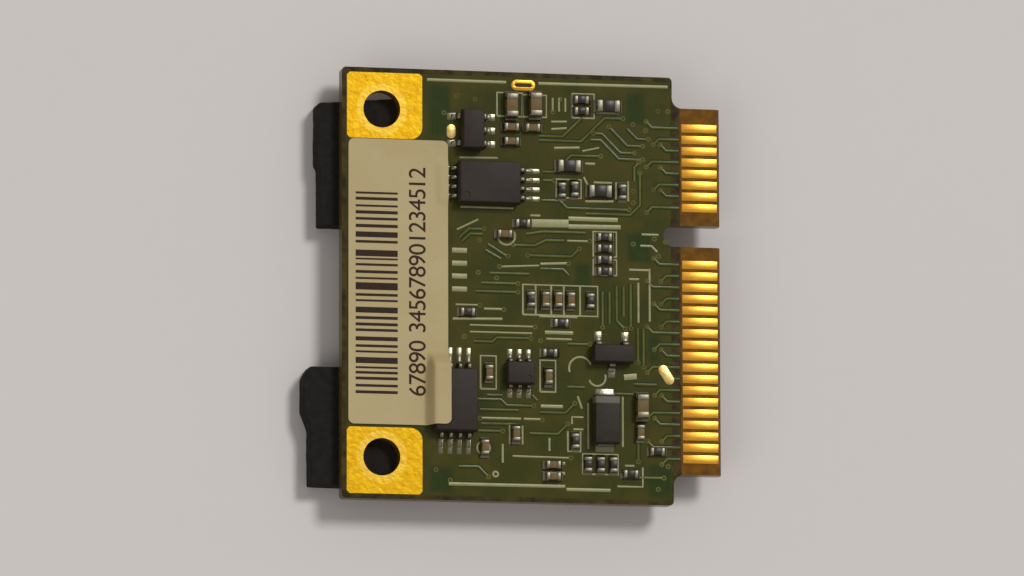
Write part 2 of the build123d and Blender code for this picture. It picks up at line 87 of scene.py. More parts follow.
def length_setting(name, description, default, smallest=0.0):
    """A length, with its default and its smallest value in millimetres."""
    return bpy.props.FloatProperty(
        name=name, description=description, default=default * MM, min=smallest * MM,
        unit="LENGTH", precision=6,
    )


def colour_setting(name, description, *steps):
    return bpy.props.FloatVectorProperty(
        name=name, description=description, default=tone(*steps), min=0, max=1, subtype="COLOR"
    )


def number_setting(name, description, default, smallest=0.0):
    return bpy.props.FloatProperty(
        name=name, description=description, default=default, min=smallest
    )


class BoardSettings(bpy.types.PropertyGroup):
    mask: colour_setting("Mask over copper", "Solder mask with copper below", 50, 54, 16)
    mask_second: colour_setting("Mask, second tone", "Tone that the mask drifts to", 68, 62, 20)
    mask_bare: colour_setting("Mask over laminate", "Solder mask with no copper below", 36, 50, 16)
    laminate: colour_setting("Laminate", "Cut edges of the glass laminate", 96, 80, 38)
    margin: colour_setting("Margin", "Bare margin round the board and in the tongue", 38, 31, 12)
    tongue: colour_setting("Tongue", "Laminate between the edge contacts", 112, 72, 10)
    copper: colour_setting("Covered traces", "Mask over the raised traces", 96, 94, 44)
    silk: colour_setting("Silk print", "Printed marks and outlines", 150, 147, 112)
    strip: colour_setting("Pale strips", "Tinned strips and pads", 128, 126, 84)
    margin_width: length_setting("Margin width", "Width of the bare margin", 0.3)
    trace_width: length_setting("Trace width", "Width of a covered trace", 0.16)
    trace_height: length_setting("Trace height", "How far a covered trace stands up", 0.02)
    silk_height: length_setting("Print height", "Thickness of the silk print", 0.015)
    via_radius: length_setting("Via radius", "Middle of the ring round each via", 0.13)
    via_wall: length_setting("Via wall", "Half thickness of that ring", 0.05)


class MetalSettings(bpy.types.PropertyGroup):
    gold: colour_setting("Contact gold", "Thin satin gold of the contacts", 210, 154, 58)
    field: colour_setting("Field gold", "Gold of the screw fields", 184, 147, 26)
    field_second: colour_setting("Field gold, second tone", "Drift in the fields", 166, 116, 14)
    field_ring: colour_setting("Field ring", "Brighter land round each screw hole", 190, 156, 56)
    tin: colour_setting("Tin", "Matt tin of leads and end terminals", 116, 112, 96)
    solder: colour_setting("Solder", "Reflowed solder", 118, 114, 94)
    shield: colour_setting("Shield", "Drawn sheet of the shield", 188, 186, 176)
    block_edge: length_setting("Terminal edge", "Rounding of terminals and small blocks", 0.03)
    cover_bend: length_setting("Cover bend", "Bend radius round the rim of the shield cover", 0.13)


class MouldingSettings(bpy.types.PropertyGroup):
    moulding: colour_setting("Moulding", "Dark moulding of the packages", 46, 39, 33)
    grey: colour_setting("Polar capacitor", "Moulding of the polar capacitor", 43, 38, 32)
    band: colour_setting("Polarity band", "Lighter end of the polar capacitor", 92, 86, 76)
    ceramic: colour_setting("Ceramic", "Bodies of the chip capacitors", 102, 82, 46)
    glaze: colour_setting("Glaze", "Glazed tops of the chip resistors", 32, 29, 25)
    body_edge: length_setting("Body edge", "Rounding of the moulded edges", 0.06)
    lead_thickness: length_setting("Lead thickness", "Thickness of the lead strip", 0.13)
    bend: length_setting("Lead bend", "Length taken off each bend by its rounding", 0.09)


class LabelSettings(bpy.types.PropertyGroup):
    paper: colour_setting("Paper", "Face of the label", 174, 158, 118)
    paper_second: colour_setting("Paper, second tone", "Slight yellowing", 165, 147, 104)
    ink: colour_setting("Ink", "Bars and digits", 42, 30, 22)
    thickness: length_setting("Thickness", "Thickness of the paper", 0.08)
    corner: length_setting("Corner radius", "Rounding of the label's corners", 0.4)
    ramp: length_setting("Ramp", "How far the paper takes to rise over a chip", 0.48)
    crest: length_setting("Crest", "Height of the crease where the paper turns over a chip", 0.05)
    digit_height: length_setting("Digit height", "Height of the printed digits", 1.25)


class FoamSettings(bpy.types.PropertyGroup):
    foam: colour_setting("Foam", "Closed cell foam", 28, 26, 24)
    foam_second: colour_setting("Foam, second tone", "Tone that the foam drifts to", 40, 36, 34)
    voxel: length_setting("Voxel", "Cell of the remeshed pad", 0.13, 0.05)
    pitting: length_setting("Pitting", "Depth of the open cells in the faces", 0.035)


class StageSettings(bpy.types.PropertyGroup):
    floor: colour_setting("Floor", "Plain pale floor", 198, 192, 189)
    floor_size: length_setting("Floor size", "Side of the floor", 12000)
    lens: number_setting("Lens", "Focal length in millimetres", 282, 1)
    key_power: number_setting("Key", "Strength of the main lamp", 1.8)
    fill_power: number_setting("Fill", "Strength of the fill lamp", 0.48)
    sky: number_setting("Sky", "Strength of the even light", 0.42)


SETTINGS = [
    ("board", BoardSettings),
    ("metal", MetalSettings),
    ("moulding", MouldingSettings),
    ("label", LabelSettings),
    ("foam", FoamSettings),
    ("stage", StageSettings),
]


def settings(group):
    return getattr(bpy.context.scene, "wifi_card_" + group)


# Node groups and materials

# Sockets of a Mix node that mixes colours
MIX_SHARE, MIX_FIRST, MIX_SECOND, MIX_RESULT = 0, 6, 7, 2


class Wiring:
    """Short ways to add nodes and links to a node tree."""

    def __init__(self, tree):
        self.tree = tree

    def add(self, kind, values=None, **options):
        node = self.tree.nodes.new(kind)
        for key, value in options.items():
            setattr(node, key, value)
        for socket, value in (values or {}).items():
            self.give(node.inputs[socket], value)
        return node

    def give(self, socket, value):
        if isinstance(value, bpy.types.NodeSocket):
            self.tree.links.new(value, socket)
        elif socket.type == "RGBA" and len(value) == 3:
            socket.default_value = (*value, 1)
        else:
            socket.default_value = value

    def maths(self, operation, *values):
        """Result of a Math node on one or two values."""
        return self.add("ShaderNodeMath", dict(enumerate(values)), operation=operation).outputs[0]

    def vectors(self, operation, *values):
        """Outputs of a Vector Math node on one or two vectors."""
        values = dict(enumerate(values))
        return self.add("ShaderNodeVectorMath", values, operation=operation).outputs

    def axes(self, vector):
        return self.add("ShaderNodeSeparateXYZ", {0: vector}).outputs

    def cloud(self, place, scale, detail):
        node = self.add("ShaderNodeTexNoise", {"Vector": place, "Scale": scale, "Detail": detail})
        return node.outputs["Fac"]

    def stretch(self, value, low, high):
        """Value from 0 at low to 1 at high, kept between them."""
        node = self.add("ShaderNodeMapRange", {"Value": value, "From Min": low, "From Max": high})
        return node.outputs["Result"]

    def blend(self, share, first, second):
        values = {MIX_SHARE: share, MIX_FIRST: first, MIX_SECOND: second}
        return self.add("ShaderNodeMix", values, data_type="RGBA").outputs[MIX_RESULT]


class Effect(Wiring):
    """A shared shader node group with a place, other named inputs and one output."""

    def __init__(self, name, output, output_kind, **inputs):
        super().__init__(bpy.data.node_groups.new(name, "ShaderNodeTree"))
        sockets = [("INPUT", *row) for row in {"Place": "Vector", **inputs}.items()]
        for way, socket, kind in sockets + [("OUTPUT", output, output_kind)]:
            self.tree.interface.new_socket(socket, in_out=way, socket_type="NodeSocket" + kind)
        self.given = self.add("NodeGroupInput").outputs
        self.end = self.add("NodeGroupOutput")

    def close(self, value):
        self.give(self.end.inputs[0], value)


def make_tone_drift():
    """One colour drifting to another in soft patches."""
    effect = Effect(
        "Tone drift", "Colour", "Color",
        First="Color", Second="Color", Scale="Float", Amount="Float",
    )
    given = effect.given
    cloud = effect.cloud(given["Place"], given["Scale"], detail=4)
    share = effect.stretch(cloud, 0.35, 0.65)
    share = effect.maths("MULTIPLY", share, given["Amount"])
    effect.close(effect.blend(share, given["First"], given["Second"]))


def make_grain():
    """Height of a fine grain."""
    effect = Effect("Grain", "Height", "Float", Scale="Float", Depth="Float")
    given = effect.given
    cloud = effect.cloud(given["Place"], given["Scale"], detail=3)
    effect.close(effect.maths("MULTIPLY", cloud, given["Depth"]))


def make_streaks():
    """Mask of streaks, drawn out where the stretch is small."""
    effect = Effect("Streaks", "Mask", "Float", Stretch="Vector", Low="Float", High="Float")
    given = effect.given
    drawn = effect.vectors("MULTIPLY", given["Place"], given["Stretch"])[0]
    cloud = effect.cloud(drawn, 1, detail=3)
    effect.close(effect.stretch(cloud, given["Low"], given["High"]))


def make_area():
    """Mask of a rectangle on the board, seen along Z, with a soft edge."""
    effect = Effect("Area", "Mask", "Float", Low="Vector", High="Vector", Edge="Float")
    given = effect.given
    above = effect.vectors("SUBTRACT", given["Place"], given["Low"])[0]
    below = effect.vectors("SUBTRACT", given["High"], given["Place"])[0]
    sides = [effect.axes(above), effect.axes(below)]
    inside, *others = [
        effect.stretch(side[axis], 0, given["Edge"]) for side in sides for axis in ("X", "Y")
    ]
    for share in others:
        inside = effect.maths("MULTIPLY", inside, share)
    effect.close(inside)


def make_disc():
    """Mask of a disc on the board, seen along Z, with a soft edge."""
    effect = Effect("Disc", "Mask", "Float", Centre="Vector", Radius="Float", Edge="Float")
    given = effect.given
    arm = effect.vectors("SUBTRACT", given["Place"], given["Centre"])[0]
    flat = effect.vectors("MULTIPLY", arm, (1, 1, 0))[0]
    reach = effect.vectors("LENGTH", flat)["Value"]
    left = effect.maths("SUBTRACT", given["Radius"], reach)
    effect.close(effect.stretch(left, 0, given["Edge"]))


class Finish(Wiring):
    """A node material with its shader and its Object coordinates."""

    def __init__(self, name, **constants):
        self.material = bpy.data.materials.new(name)
        self.material.use_nodes = True
        super().__init__(self.material.node_tree)
        self.shader = self.tree.nodes["Principled BSDF"]
        self.place = self.add("ShaderNodeTexCoord").outputs["Object"]
        for socket, value in constants.items():
            self.give(self.shader.inputs[socket.replace("_", " ")], value)

    def effect(self, name, **values):
        node = self.add("ShaderNodeGroup", node_tree=bpy.data.node_groups[name])
        for socket, value in {"Place": self.place, **values}.items():
            self.give(node.inputs[socket], value)
        return node.outputs[0]

    def drift(self, first, second, scale, amount):
        """Colour that drifts from one tone to another."""
        return self.effect("Tone drift", First=first, Second=second, Scale=scale, Amount=amount)

    def streaks(self, stretch, low, high):
        """Mask of noise drawn out by a stretch, from 0 at low to 1 at high."""
        return self.effect("Streaks", Stretch=stretch, Low=low, High=high)

    def area(self, low, high, edge):
        """Mask of a rectangle whose edge is this many millimetres soft."""
        return self.effect("Area", Low=low, High=high, Edge=edge * MM)

    def tint(self, mask, share, under, over):
        """One colour over another, by a share of a mask."""
        return self.blend(self.maths("MULTIPLY", mask, share), under, over)

    def facing_up(self):
        """Mask of the faces that look up or down."""
        normal = self.add("ShaderNodeNewGeometry").outputs["True Normal"]
        return self.stretch(self.maths("ABSOLUTE", self.axes(normal)["Z"]), 0.5, 0.7)

    def colour(self, value):
        self.give(self.shader.inputs["Base Color"], value)

    def roughness(self, mask, smooth, rough):
        """Roughness from smooth where the mask is 0 to rough where it is 1."""
        node = self.add("ShaderNodeMapRange", {"Value": mask, "To Min": smooth, "To Max": rough})
        self.give(self.shader.inputs["Roughness"], node.outputs["Result"])

    def bump(self, height, depth):
        """Relief this many millimetres deep."""
        node = self.add("ShaderNodeBump", {"Height": height, "Distance": depth * MM})
        self.give(self.shader.inputs["Normal"], node.outputs["Normal"])

    def grained(self, scale, depth, smooth, rough, mask=None):
        """Ends a finish with its grain. The roughness follows the grain, or else the mask."""
        grain = self.effect("Grain", Scale=scale, Depth=1)
        self.roughness(grain if mask is None else mask, smooth, rough)
        self.bump(grain, depth)
        return self.material


# Greener patches, where no copper lies under the solder mask: low X and Y, high X and Y
BARE_PATCHES = [
    (20, 11.5, 21.6, 14), (20, 1.8, 22, 4.1), (21.5, -14.6, 23.4, -12), (6, -14.6, 8, -12.5),
    (6, 10.3, 7.8, 14.1), (16.3, -0.2, 17.7, 1.9), (21.5, -5.2, 22.6, -3),
]


def make_board_finish():
    """Mask on the faces, bare laminate in the margin and the tongue, and layers in the cuts."""
    board = settings("board")
    finish = Finish("Solder mask", Specular_IOR_Level=0.14)
    colour = finish.drift(board.mask, board.mask_second, 420, 0.8)
    bare = finish.drift(board.mask_bare, board.mask, 900, 0.4)
    for low_x, low_y, high_x, high_y in BARE_PATCHES:
        patch = finish.area(on_board(low_x, low_y), on_board(high_x, high_y), 0.35)
        colour = finish.blend(patch, colour, bare)
    weave = finish.streaks((9000, 700, 1), 0.42, 0.7)
    colour = finish.tint(weave, 0.05, colour, board.copper)
    margin = board.margin_width
    mask_right = contacts_left - 0.75 * MM
    tongue_left = contacts_left - 0.15 * MM
    low = board_low + Vector((margin, margin, 0))
    masked = finish.area(low, Vector((mask_right, board_high.y - margin, 0)), 0.06)
    in_tongue = finish.area(Vector((tongue_left, board_low.y, 0)), board_high, 0.1)
    edge = finish.drift(board.margin, board.laminate, 1500, 0.4)
    tongue = finish.drift(board.tongue, board.margin, 1800, 0.5)
    colour = finish.blend(masked, finish.blend(in_tongue, edge, tongue), colour)
    layers = finish.streaks((90, 90, 13000), 0.3, 0.7)
    cut = finish.blend(layers, board.laminate, shade(board.laminate, 0.45))
    finish.colour(finish.blend(finish.facing_up(), cut, colour))
    return finish.grained(11000, 0.003, 0.14, 0.26)


def make_plain_finish(name, first, second, drift, gloss, grain, metallic=0.0, specular=0.5):
    """Finish with a drifting tone, uneven gloss and a fine grain.

    The second tone is a colour or a share of the first. The drift is a scale and an amount, the
    gloss the least and the most roughness, and the grain a scale and a depth in millimetres.
    """
    if isinstance(second, float):
        second = shade(first, second)
    finish = Finish(name, Metallic=metallic, Specular_IOR_Level=specular)
    finish.colour(finish.drift(first, second, *drift))
    return finish.grained(*grain, *gloss)


def shade(colour, factor):
    return tuple(min(1.0, part * factor) for part in colour)


def make_gold_finish():
    """Contact gold with fine wear along the way the card slides in."""
    gold = settings("metal").gold
    finish = Finish("Contact gold", Metallic=1.0)
    colour = finish.drift(gold, shade(gold, 0.82), 1300, 0.7)
    wear = finish.streaks((500, 14000, 1), 0.5, 0.75)
    finish.colour(finish.tint(wear, 0.35, colour, shade(gold, 1.15)))
    return finish.grained(9000, 0.004, 0.34, 0.48, wear)


def make_field_finish():
    """Gold of the screw fields, mottled, with a brighter land round each hole."""
    metal = settings("metal")
    hole_x = board_left + 2.8 * MM
    hole_y = board_high.y - 2.9 * MM
    finish = Finish("Field gold", Metallic=1.0)
    colour = finish.drift(metal.field, metal.field_second, 1600, 0.55)
    for side in (1, -1):
        centre = Vector((hole_x, side * hole_y, 0))
        land = finish.effect("Disc", Centre=centre, Radius=1.85 * MM, Edge=0.12 * MM)
        colour = finish.tint(land, 0.7, colour, metal.field_ring)
    finish.colour(colour)
    return finish.grained(2600, 0.02, 0.36, 0.5)


def make_shield_finish():
    """Drawn sheet with brushed streaks."""
    sheet = settings("metal").shield
    finish = Finish("Shield sheet", Metallic=1.0)
    brushed = finish.streaks((9000, 300, 300), 0.35, 0.7)
    finish.colour(finish.blend(brushed, sheet, shade(sheet, 0.8)))
    return finish.grained(7000, 0.004, 0.3, 0.44, brushed)


def make_paper_finish():
    """Uncoated paper with faint fibres and yellowing."""
    label = settings("label")
    finish = Finish("Label paper", Specular_IOR_Level=0.2)
    colour = finish.drift(label.paper, label.paper_second, 260, 0.6)
    fibres = finish.streaks((3500, 9000, 3500), 0.55, 0.8)
    finish.colour(finish.tint(fibres, 0.25, colour, shade(label.paper_second, 0.8)))
    return finish.grained(8000, 0.01, 0.6, 0.8)


def make_polar_finish():
    """Moulding of the polar capacitor with its lighter band."""
    moulding = settings("moulding")
    low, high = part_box("polar_capacitor_body")
    finish = Finish("Polar moulding", Specular_IOR_Level=0.16)
    colour = finish.drift(moulding.grey, shade(moulding.grey, 0.7), 2500, 0.5)
    band_low = Vector((low.x - MM, high.y - 0.62 * MM, 0))
    band_high = Vector((high.x + MM, high.y - 0.12 * MM, 0))
    band = finish.area(band_low, band_high, 0.04)
    finish.colour(finish.blend(band, colour, moulding.band))
    return finish.grained(9000, 0.012, 0.42, 0.62)


def make_foam_finish():
    """Dull foam with small open cells."""
    foam = settings("foam")
    finish = Finish("Black foam", Specular_IOR_Level=0.12)
    finish.colour(finish.drift(foam.foam, foam.foam_second, 1600, 0.5))
    texture = finish.add("ShaderNodeTexVoronoi", {"Vector": finish.place, "Scale": 7000})
    cells = texture.outputs["Distance"]
    finish.roughness(cells, 0.85, 1.0)
    grain = finish.effect("Grain", Scale=14000, Depth=0.5)
    finish.bump(finish.maths("ADD", cells, grain), 0.04)
    return finish.material


def make_finishes():
    """All materials, by a short name."""
    for make in (make_tone_drift, make_grain, make_streaks, make_area, make_disc):
        make()
    board, metal, moulding = settings("board"), settings("metal"), settings("moulding")
    plain = make_plain_finish
    return {
        "board": make_board_finish(),
        "gold": make_gold_finish(),
        "field": make_field_finish(),
        "shield": make_shield_finish(),
        "paper": make_paper_finish(),
        "polar": make_polar_finish(),
        "foam": make_foam_finish(),
        "copper": plain(
            "Covered traces", board.copper, board.mask_second, (900, 0.6), (0.16, 0.28),
            (9000, 0.003), specular=0.16),
        "cream": plain(
            "Tinned gold", tone(196, 172, 112), tone(170, 140, 70), (2600, 0.7), (0.28, 0.42),
            (5000, 0.01), 1.0),
        "bare": plain(
            "Mask over laminate", board.mask_bare, 0.8, (900, 0.6), (0.14, 0.26),
            (11000, 0.003), specular=0.14),
        "silk": plain(
            "Silk ink", board.silk, 0.75, (2500, 0.7), (0.55, 0.75), (9000, 0.006), specular=0.2),
        "strip": plain(
            "Pale strips", board.strip, 0.8, (1600, 0.6), (0.35, 0.55), (6000, 0.006), 0.2),
        "tin": plain("Matt tin", metal.tin, 0.7, (2200, 0.5), (0.32, 0.5), (9000, 0.006), 1.0),
        "solder": plain("Solder", metal.solder, 0.8, (2600, 0.5), (0.2, 0.36), (5000, 0.012), 1.0),
        "moulding": plain(
            "Dark moulding", moulding.moulding, 0.72, (1800, 0.6), (0.42, 0.66), (11000, 0.014),
            specular=0.16),
        "ceramic": plain(
            "Capacitor ceramic", moulding.ceramic, 0.75, (2600, 0.6), (0.45, 0.65),
            (9000, 0.008), specular=0.25),
        "glaze": plain(
            "Resistor glaze", moulding.glaze, 1.6, (2600, 0.5), (0.25, 0.45), (7000, 0.006),
            specular=0.25),
        "ink": plain(
            "Label ink", settings("label").ink, 1.5, (5200, 0.6), (0.6, 0.8), (9000, 0.004),
            specular=0.15),
        "ivory": plain(
            "Ivory moulding", tone(206, 196, 170), tone(188, 176, 146), (1600, 0.5),
            (0.4, 0.55), (8000, 0.006)),
        "lid": plain(
            "Crystal lid", tone(196, 190, 172), tone(168, 162, 146), (1400, 0.5), (0.28, 0.42),
            (7000, 0.004), 1.0),
        "ferrite": plain(
            "Ferrite", tone(46, 44, 44), tone(62, 58, 56), (2400, 0.6), (0.5, 0.7),
            (9000, 0.012)),
    }


finishes = {}


def dress(piece, finish):
    """Gives a piece one material, and makes them all the first time."""
    if not finishes:
        finishes.update(make_finishes())
    piece.data.materials.clear()
    piece.data.materials.append(finishes[finish])


# Ways to model

# Places nearer than this are one place
TOUCH = 0.001 * MM


def deselect():
    bpy.ops.object.select_all(action="DESELECT")


def start_edit():
    bpy.ops.object.mode_set(mode="EDIT")


def end_edit():
    bpy.ops.object.mode_set(mode="OBJECT")


def pick(piece):
    deselect()
    piece.select_set(True)
    bpy.context.view_layer.objects.active = piece


def settle(piece):
    """Puts a piece's place, turn and size into its mesh."""
    pick(piece)
    bpy.ops.object.transform_apply(location=True, rotation=True, scale=True)


def start_with(primitive, scale=(1, 1, 1), **values):
    """New primitive, alone selected, with its place and size in its mesh."""
    deselect()
    primitive(**values)
    piece = bpy.context.active_object
    piece.scale = scale
    settle(piece)
    return piece


def add_block(low, high):
    """Block between two corners."""
    centre = (low + high) / 2
    return start_with(bpy.ops.mesh.primitive_cube_add, high - low, size=1, location=centre)


def join(parts, name):
    deselect()
    for part in parts:
        part.select_set(True)
    bpy.context.view_layer.objects.active = parts[0]
    if len(parts) > 1:
        bpy.ops.object.join()
    parts[0].name = parts[0].data.name = name
    return parts[0]


def placed(place, turn):
    """Matrix for a copy at this place, turned by this many degrees about Z."""
    return Matrix.Translation(place) @ Matrix.Rotation(math.radians(turn), 4, "Z")


def copies(master, places, name):
    """Copies of a master at these places, each with its own mesh, joined in one piece."""
    made = []
    for place in places:
        copy = master.copy()
        copy.data = master.data.copy()
        bpy.context.scene.collection.objects.link(copy)
        copy.matrix_world = place
        made.append(copy)
    bpy.data.objects.remove(master)
    piece = join(made, name)
    settle(piece)
    return piece


def shape_with(piece, kind, **values):
    """Gives a piece a modifier and applies it."""
    pick(piece)
    modifier = piece.modifiers.new(kind, kind)
    for key, value in values.items():
        setattr(modifier, key, value)
    bpy.ops.object.modifier_apply(modifier=modifier.name)


def smooth(piece, degrees=40):
    pick(piece)
    bpy.ops.object.shade_smooth_by_angle(angle=math.radians(degrees))


def round_edges(piece, width, segments=2, degrees=40):
    """Rounds the sharp edges of a piece and smooths it."""
    shape_with(
        piece, "BEVEL", width=width, segments=segments, limit_method="ANGLE",
        angle_limit=math.radians(25),
    )
    smooth(piece, degrees)


def choose(piece, kind, test):
    """In edit mode, selects the vertices or edges that pass a test."""
    bpy.ops.mesh.select_mode(type=kind)
    bpy.ops.mesh.select_all(action="DESELECT")
    mesh = bmesh.from_edit_mesh(piece.data)
    for item in mesh.verts if kind == "VERT" else mesh.edges:
        if test(item):
            item.select_set(True)
    mesh.select_flush_mode()
    bmesh.update_edit_mesh(piece.data)


def cut(place, way):
    """In edit mode, cuts the whole mesh along the plane that faces this way."""
    bpy.ops.mesh.select_all(action="SELECT")
    bpy.ops.mesh.bisect(plane_co=place, plane_no=way)


def middle(edge):
    return (edge.verts[0].co + edge.verts[1].co) / 2


def hand_over(piece, finish, slot, *stands_for):
    """Gives a finished piece its material and its body, and hides the nodes that it stands for. The
    slot is not used.
    """
    dress(piece, finish)
    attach(piece, "root")
    if stands_for:
        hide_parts(*stands_for)


def solids_of(node):
    """Lowest and highest corner of each separate solid in a CAD node."""
    mesh = bmesh.new()
    mesh.from_mesh(nodes[node].data)
    bmesh.ops.remove_doubles(mesh, verts=mesh.verts, dist=TOUCH / 2)
    left = set(mesh.verts)
    found = []
    while left:
        solid = set()
        rim = {left.pop()}
        while rim:
            solid |= rim
            rim = {edge.other_vert(v) for v in rim for edge in v.link_edges} - solid
        left -= solid
        found.append([
            Vector([end(v.co[axis] for v in solid) for axis in range(3)]) for end in (min, max)
        ])
    mesh.free()
    return sorted(found, key=lambda box: [round(part, 6) for part in box[0]])


def merged_copy(node):
    """Copy of a CAD node with its loose triangles merged."""
    piece = nodes[node].copy()
    piece.data = nodes[node].data.copy()
    for key in list(piece.keys()):
        del piece[key]
    piece.parent = None
    bpy.context.scene.collection.objects.link(piece)
    pick(piece)
    start_edit()
    bpy.ops.mesh.select_all(action="SELECT")
    bpy.ops.mesh.remove_doubles(threshold=TOUCH / 2)
    bpy.ops.mesh.dissolve_limited(angle_limit=math.radians(1))
    end_edit()
    return piece


def bevelled_blocks(node, edge):
    """The block-like solids of a node with rounded edges."""
    blocks = [add_block(low, high) for low, high in solids_of(node)]
    piece = join(blocks, node + "_rounded")
    round_edges(piece, edge)
    return piece


def softened(node, edge):
    """Copy of a CAD node whose sharp edges are slightly rounded."""
    piece = merged_copy(node)
    round_edges(piece, edge)
    piece.name = node + "_rounded"
    return piece


def strokes(name, width, height, runs, level=board_top):
    """Flat raised strokes along runs of points, in millimetres on a face of the board."""
    data = bpy.data.curves.new(name, "CURVE")
    data.dimensions = "3D"
    data.bevel_depth = width / 2
    data.bevel_resolution = 1
    data.use_fill_caps = True
    for run in runs:
        spline = data.splines.new("POLY")
        spline.points.add(len(run) - 1)
        for point, (x, y) in zip(spline.points, run):
            place = on_board(x, y)
            point.co = (place.x, place.y, 0, 1)
    piece = bpy.data.objects.new(name, data)
    bpy.context.scene.collection.objects.link(piece)
    pick(piece)
    bpy.ops.object.convert(target="MESH")
    piece.scale.z = height / (width / 2)
    piece.location.z = level
    settle(piece)
    smooth(piece)
    return piece


def outline(low_x, low_y, high_x, high_y):
    """Closed rectangle as a run of points."""
    return [(low_x, low_y), (high_x, low_y), (high_x, high_y), (low_x, high_y), (low_x, low_y)]


def arc(centre_x, centre_y, radius, start, end, steps=10):
    points = []
    for i in range(steps + 1):
        angle = math.radians(start + (end - start) * i / steps)
        points.append((centre_x + radius * math.cos(angle), centre_y + radius * math.sin(angle)))
    return points


# The board

def middles(node):
    """Board Y, in millimetres, of the middle of each solid in a node."""
    return [(low.y + high.y) / 2 / MM for low, high in solids_of(node)]


def contact_traces():
    """Traces that run from the edge contacts into the board, with a 45 degree jog to a via."""
    reaches = (0.9, 1.9, 0.9, 1.4, 1.9, 0.9, 1.4)
    start = (contacts_left - board_left) / MM - 0.2
    runs = []
    for i, y in enumerate(middles("contacts_label_side")):
        end = start - reaches[i % len(reaches)]
        jog = 0.4 if i % 2 else -0.4
        runs.append([(start, y), (end, y), (end - abs(jog), y + jog)])
    return runs


# Covered traces of the label side, as runs of points in millimetres on the board
TRACES = [
    [(14, 1.3), (15.6, 1.3), (16, 0.9)], [(9.8, -9.6), (12.2, -9.6)],
    [(8.25, 3.3), (8.95, 3.95), (9.9, 3.95)], [(10.4, 0.9), (13.2, 0.9)], [(9.8, 0.2), (12.3, 0.2)],
    [(9.4, -0.4), (12.3, -0.4)], [(13, 3.7), (14.2, 3.9), (17.2, 3.9)],
    [(13.2, 2.2), (16.2, 2.2), (16.7, 2.7)], [(15.9, -6.9), (17.1, -6.9)],
    [(10.2, -7.6), (11.3, -7.6)], [(13.4, -7.55), (13.75, -7.9)], [(9.7, -8.62), (12.4, -8.62)],
    [(20.6, -6.6), (22.2, -6.6)], [(14.2, 8.1), (15, 8.1), (16.2, 9.3), (18.2, 9.3)],
    [(14.2, 7.5), (14.9, 7.5)], [(14.1, 6.1), (15.4, 6.1), (15.9, 5.6), (20.2, 5.6)],
    [(13.9, 10.6), (15.6, 10.6), (17.2, 12.2)],
    [(13.9, 10.3), (16.9, 10.3), (18.6, 12), (19.8, 12)],
    [(17.9, 10.9), (18.4, 10.9), (19.7, 9.6), (20.7, 9.6)],
    [(17.6, 10.45), (18.3, 10.45), (19.6, 9.15), (21.2, 9.15)],
    [(19, 11.3), (20.2, 10.1), (21.2, 10.1)], [(20.2, 11.3), (20.9, 10.6), (21.6, 10.6)],
    [(8.45, 3.05), (9.05, 3.6), (9.9, 3.6)], [(10.3, 2.9), (11.6, 2.1)], [(10.1, 2.5), (11.2, 1.9)],
    [(12.1, 2.9), (13.6, 2.9), (14.4, 3.3), (15.7, 3.3)],
    [(9.3, -3.9), (10.6, -3.9), (10.9, -3.6), (13.2, -3.6)], [(18.4, -0.2), (18.4, -2.6)],
    [(18.9, -0.2), (18.9, -2.4)], [(19.4, 0.2), (19.4, -2.2), (19.9, -2.7)],
    [(19.9, 0.2), (19.9, -1.9)], [(20.4, 0.4), (20.4, -2.6)], [(20.9, -2.7), (20.9, -5)],
    [(21.3, -2.7), (21.3, -5.3)], [(15.9, -3.9), (17.4, -3.9)],
    [(13.9, -8.72), (15.75, -8.72), (16.35, -8.1)], [(9.6, -10.1), (11.2, -10.1)],
    [(13.2, -10.2), (15.2, -10.2), (15.8, -9.6)],
    [(9.4, -7.9), (11.2, -7.9), (11.6, -8.3), (13.4, -8.3)], [(19.2, -7.3), (20.6, -7.3)],
    [(20, -13.1), (22.6, -13.1)], [(8.2, -12.6), (9.6, -12.6), (10.2, -13.2)],
    [(17.2, 5.25), (20.4, 5.25), (21.1, 5.95), (21.1, 8.2)], [(20.7, 7.6), (20.7, 8.6), (21, 8.9)],
    [(20.9, -9.5), (20.9, -11.9)],
]

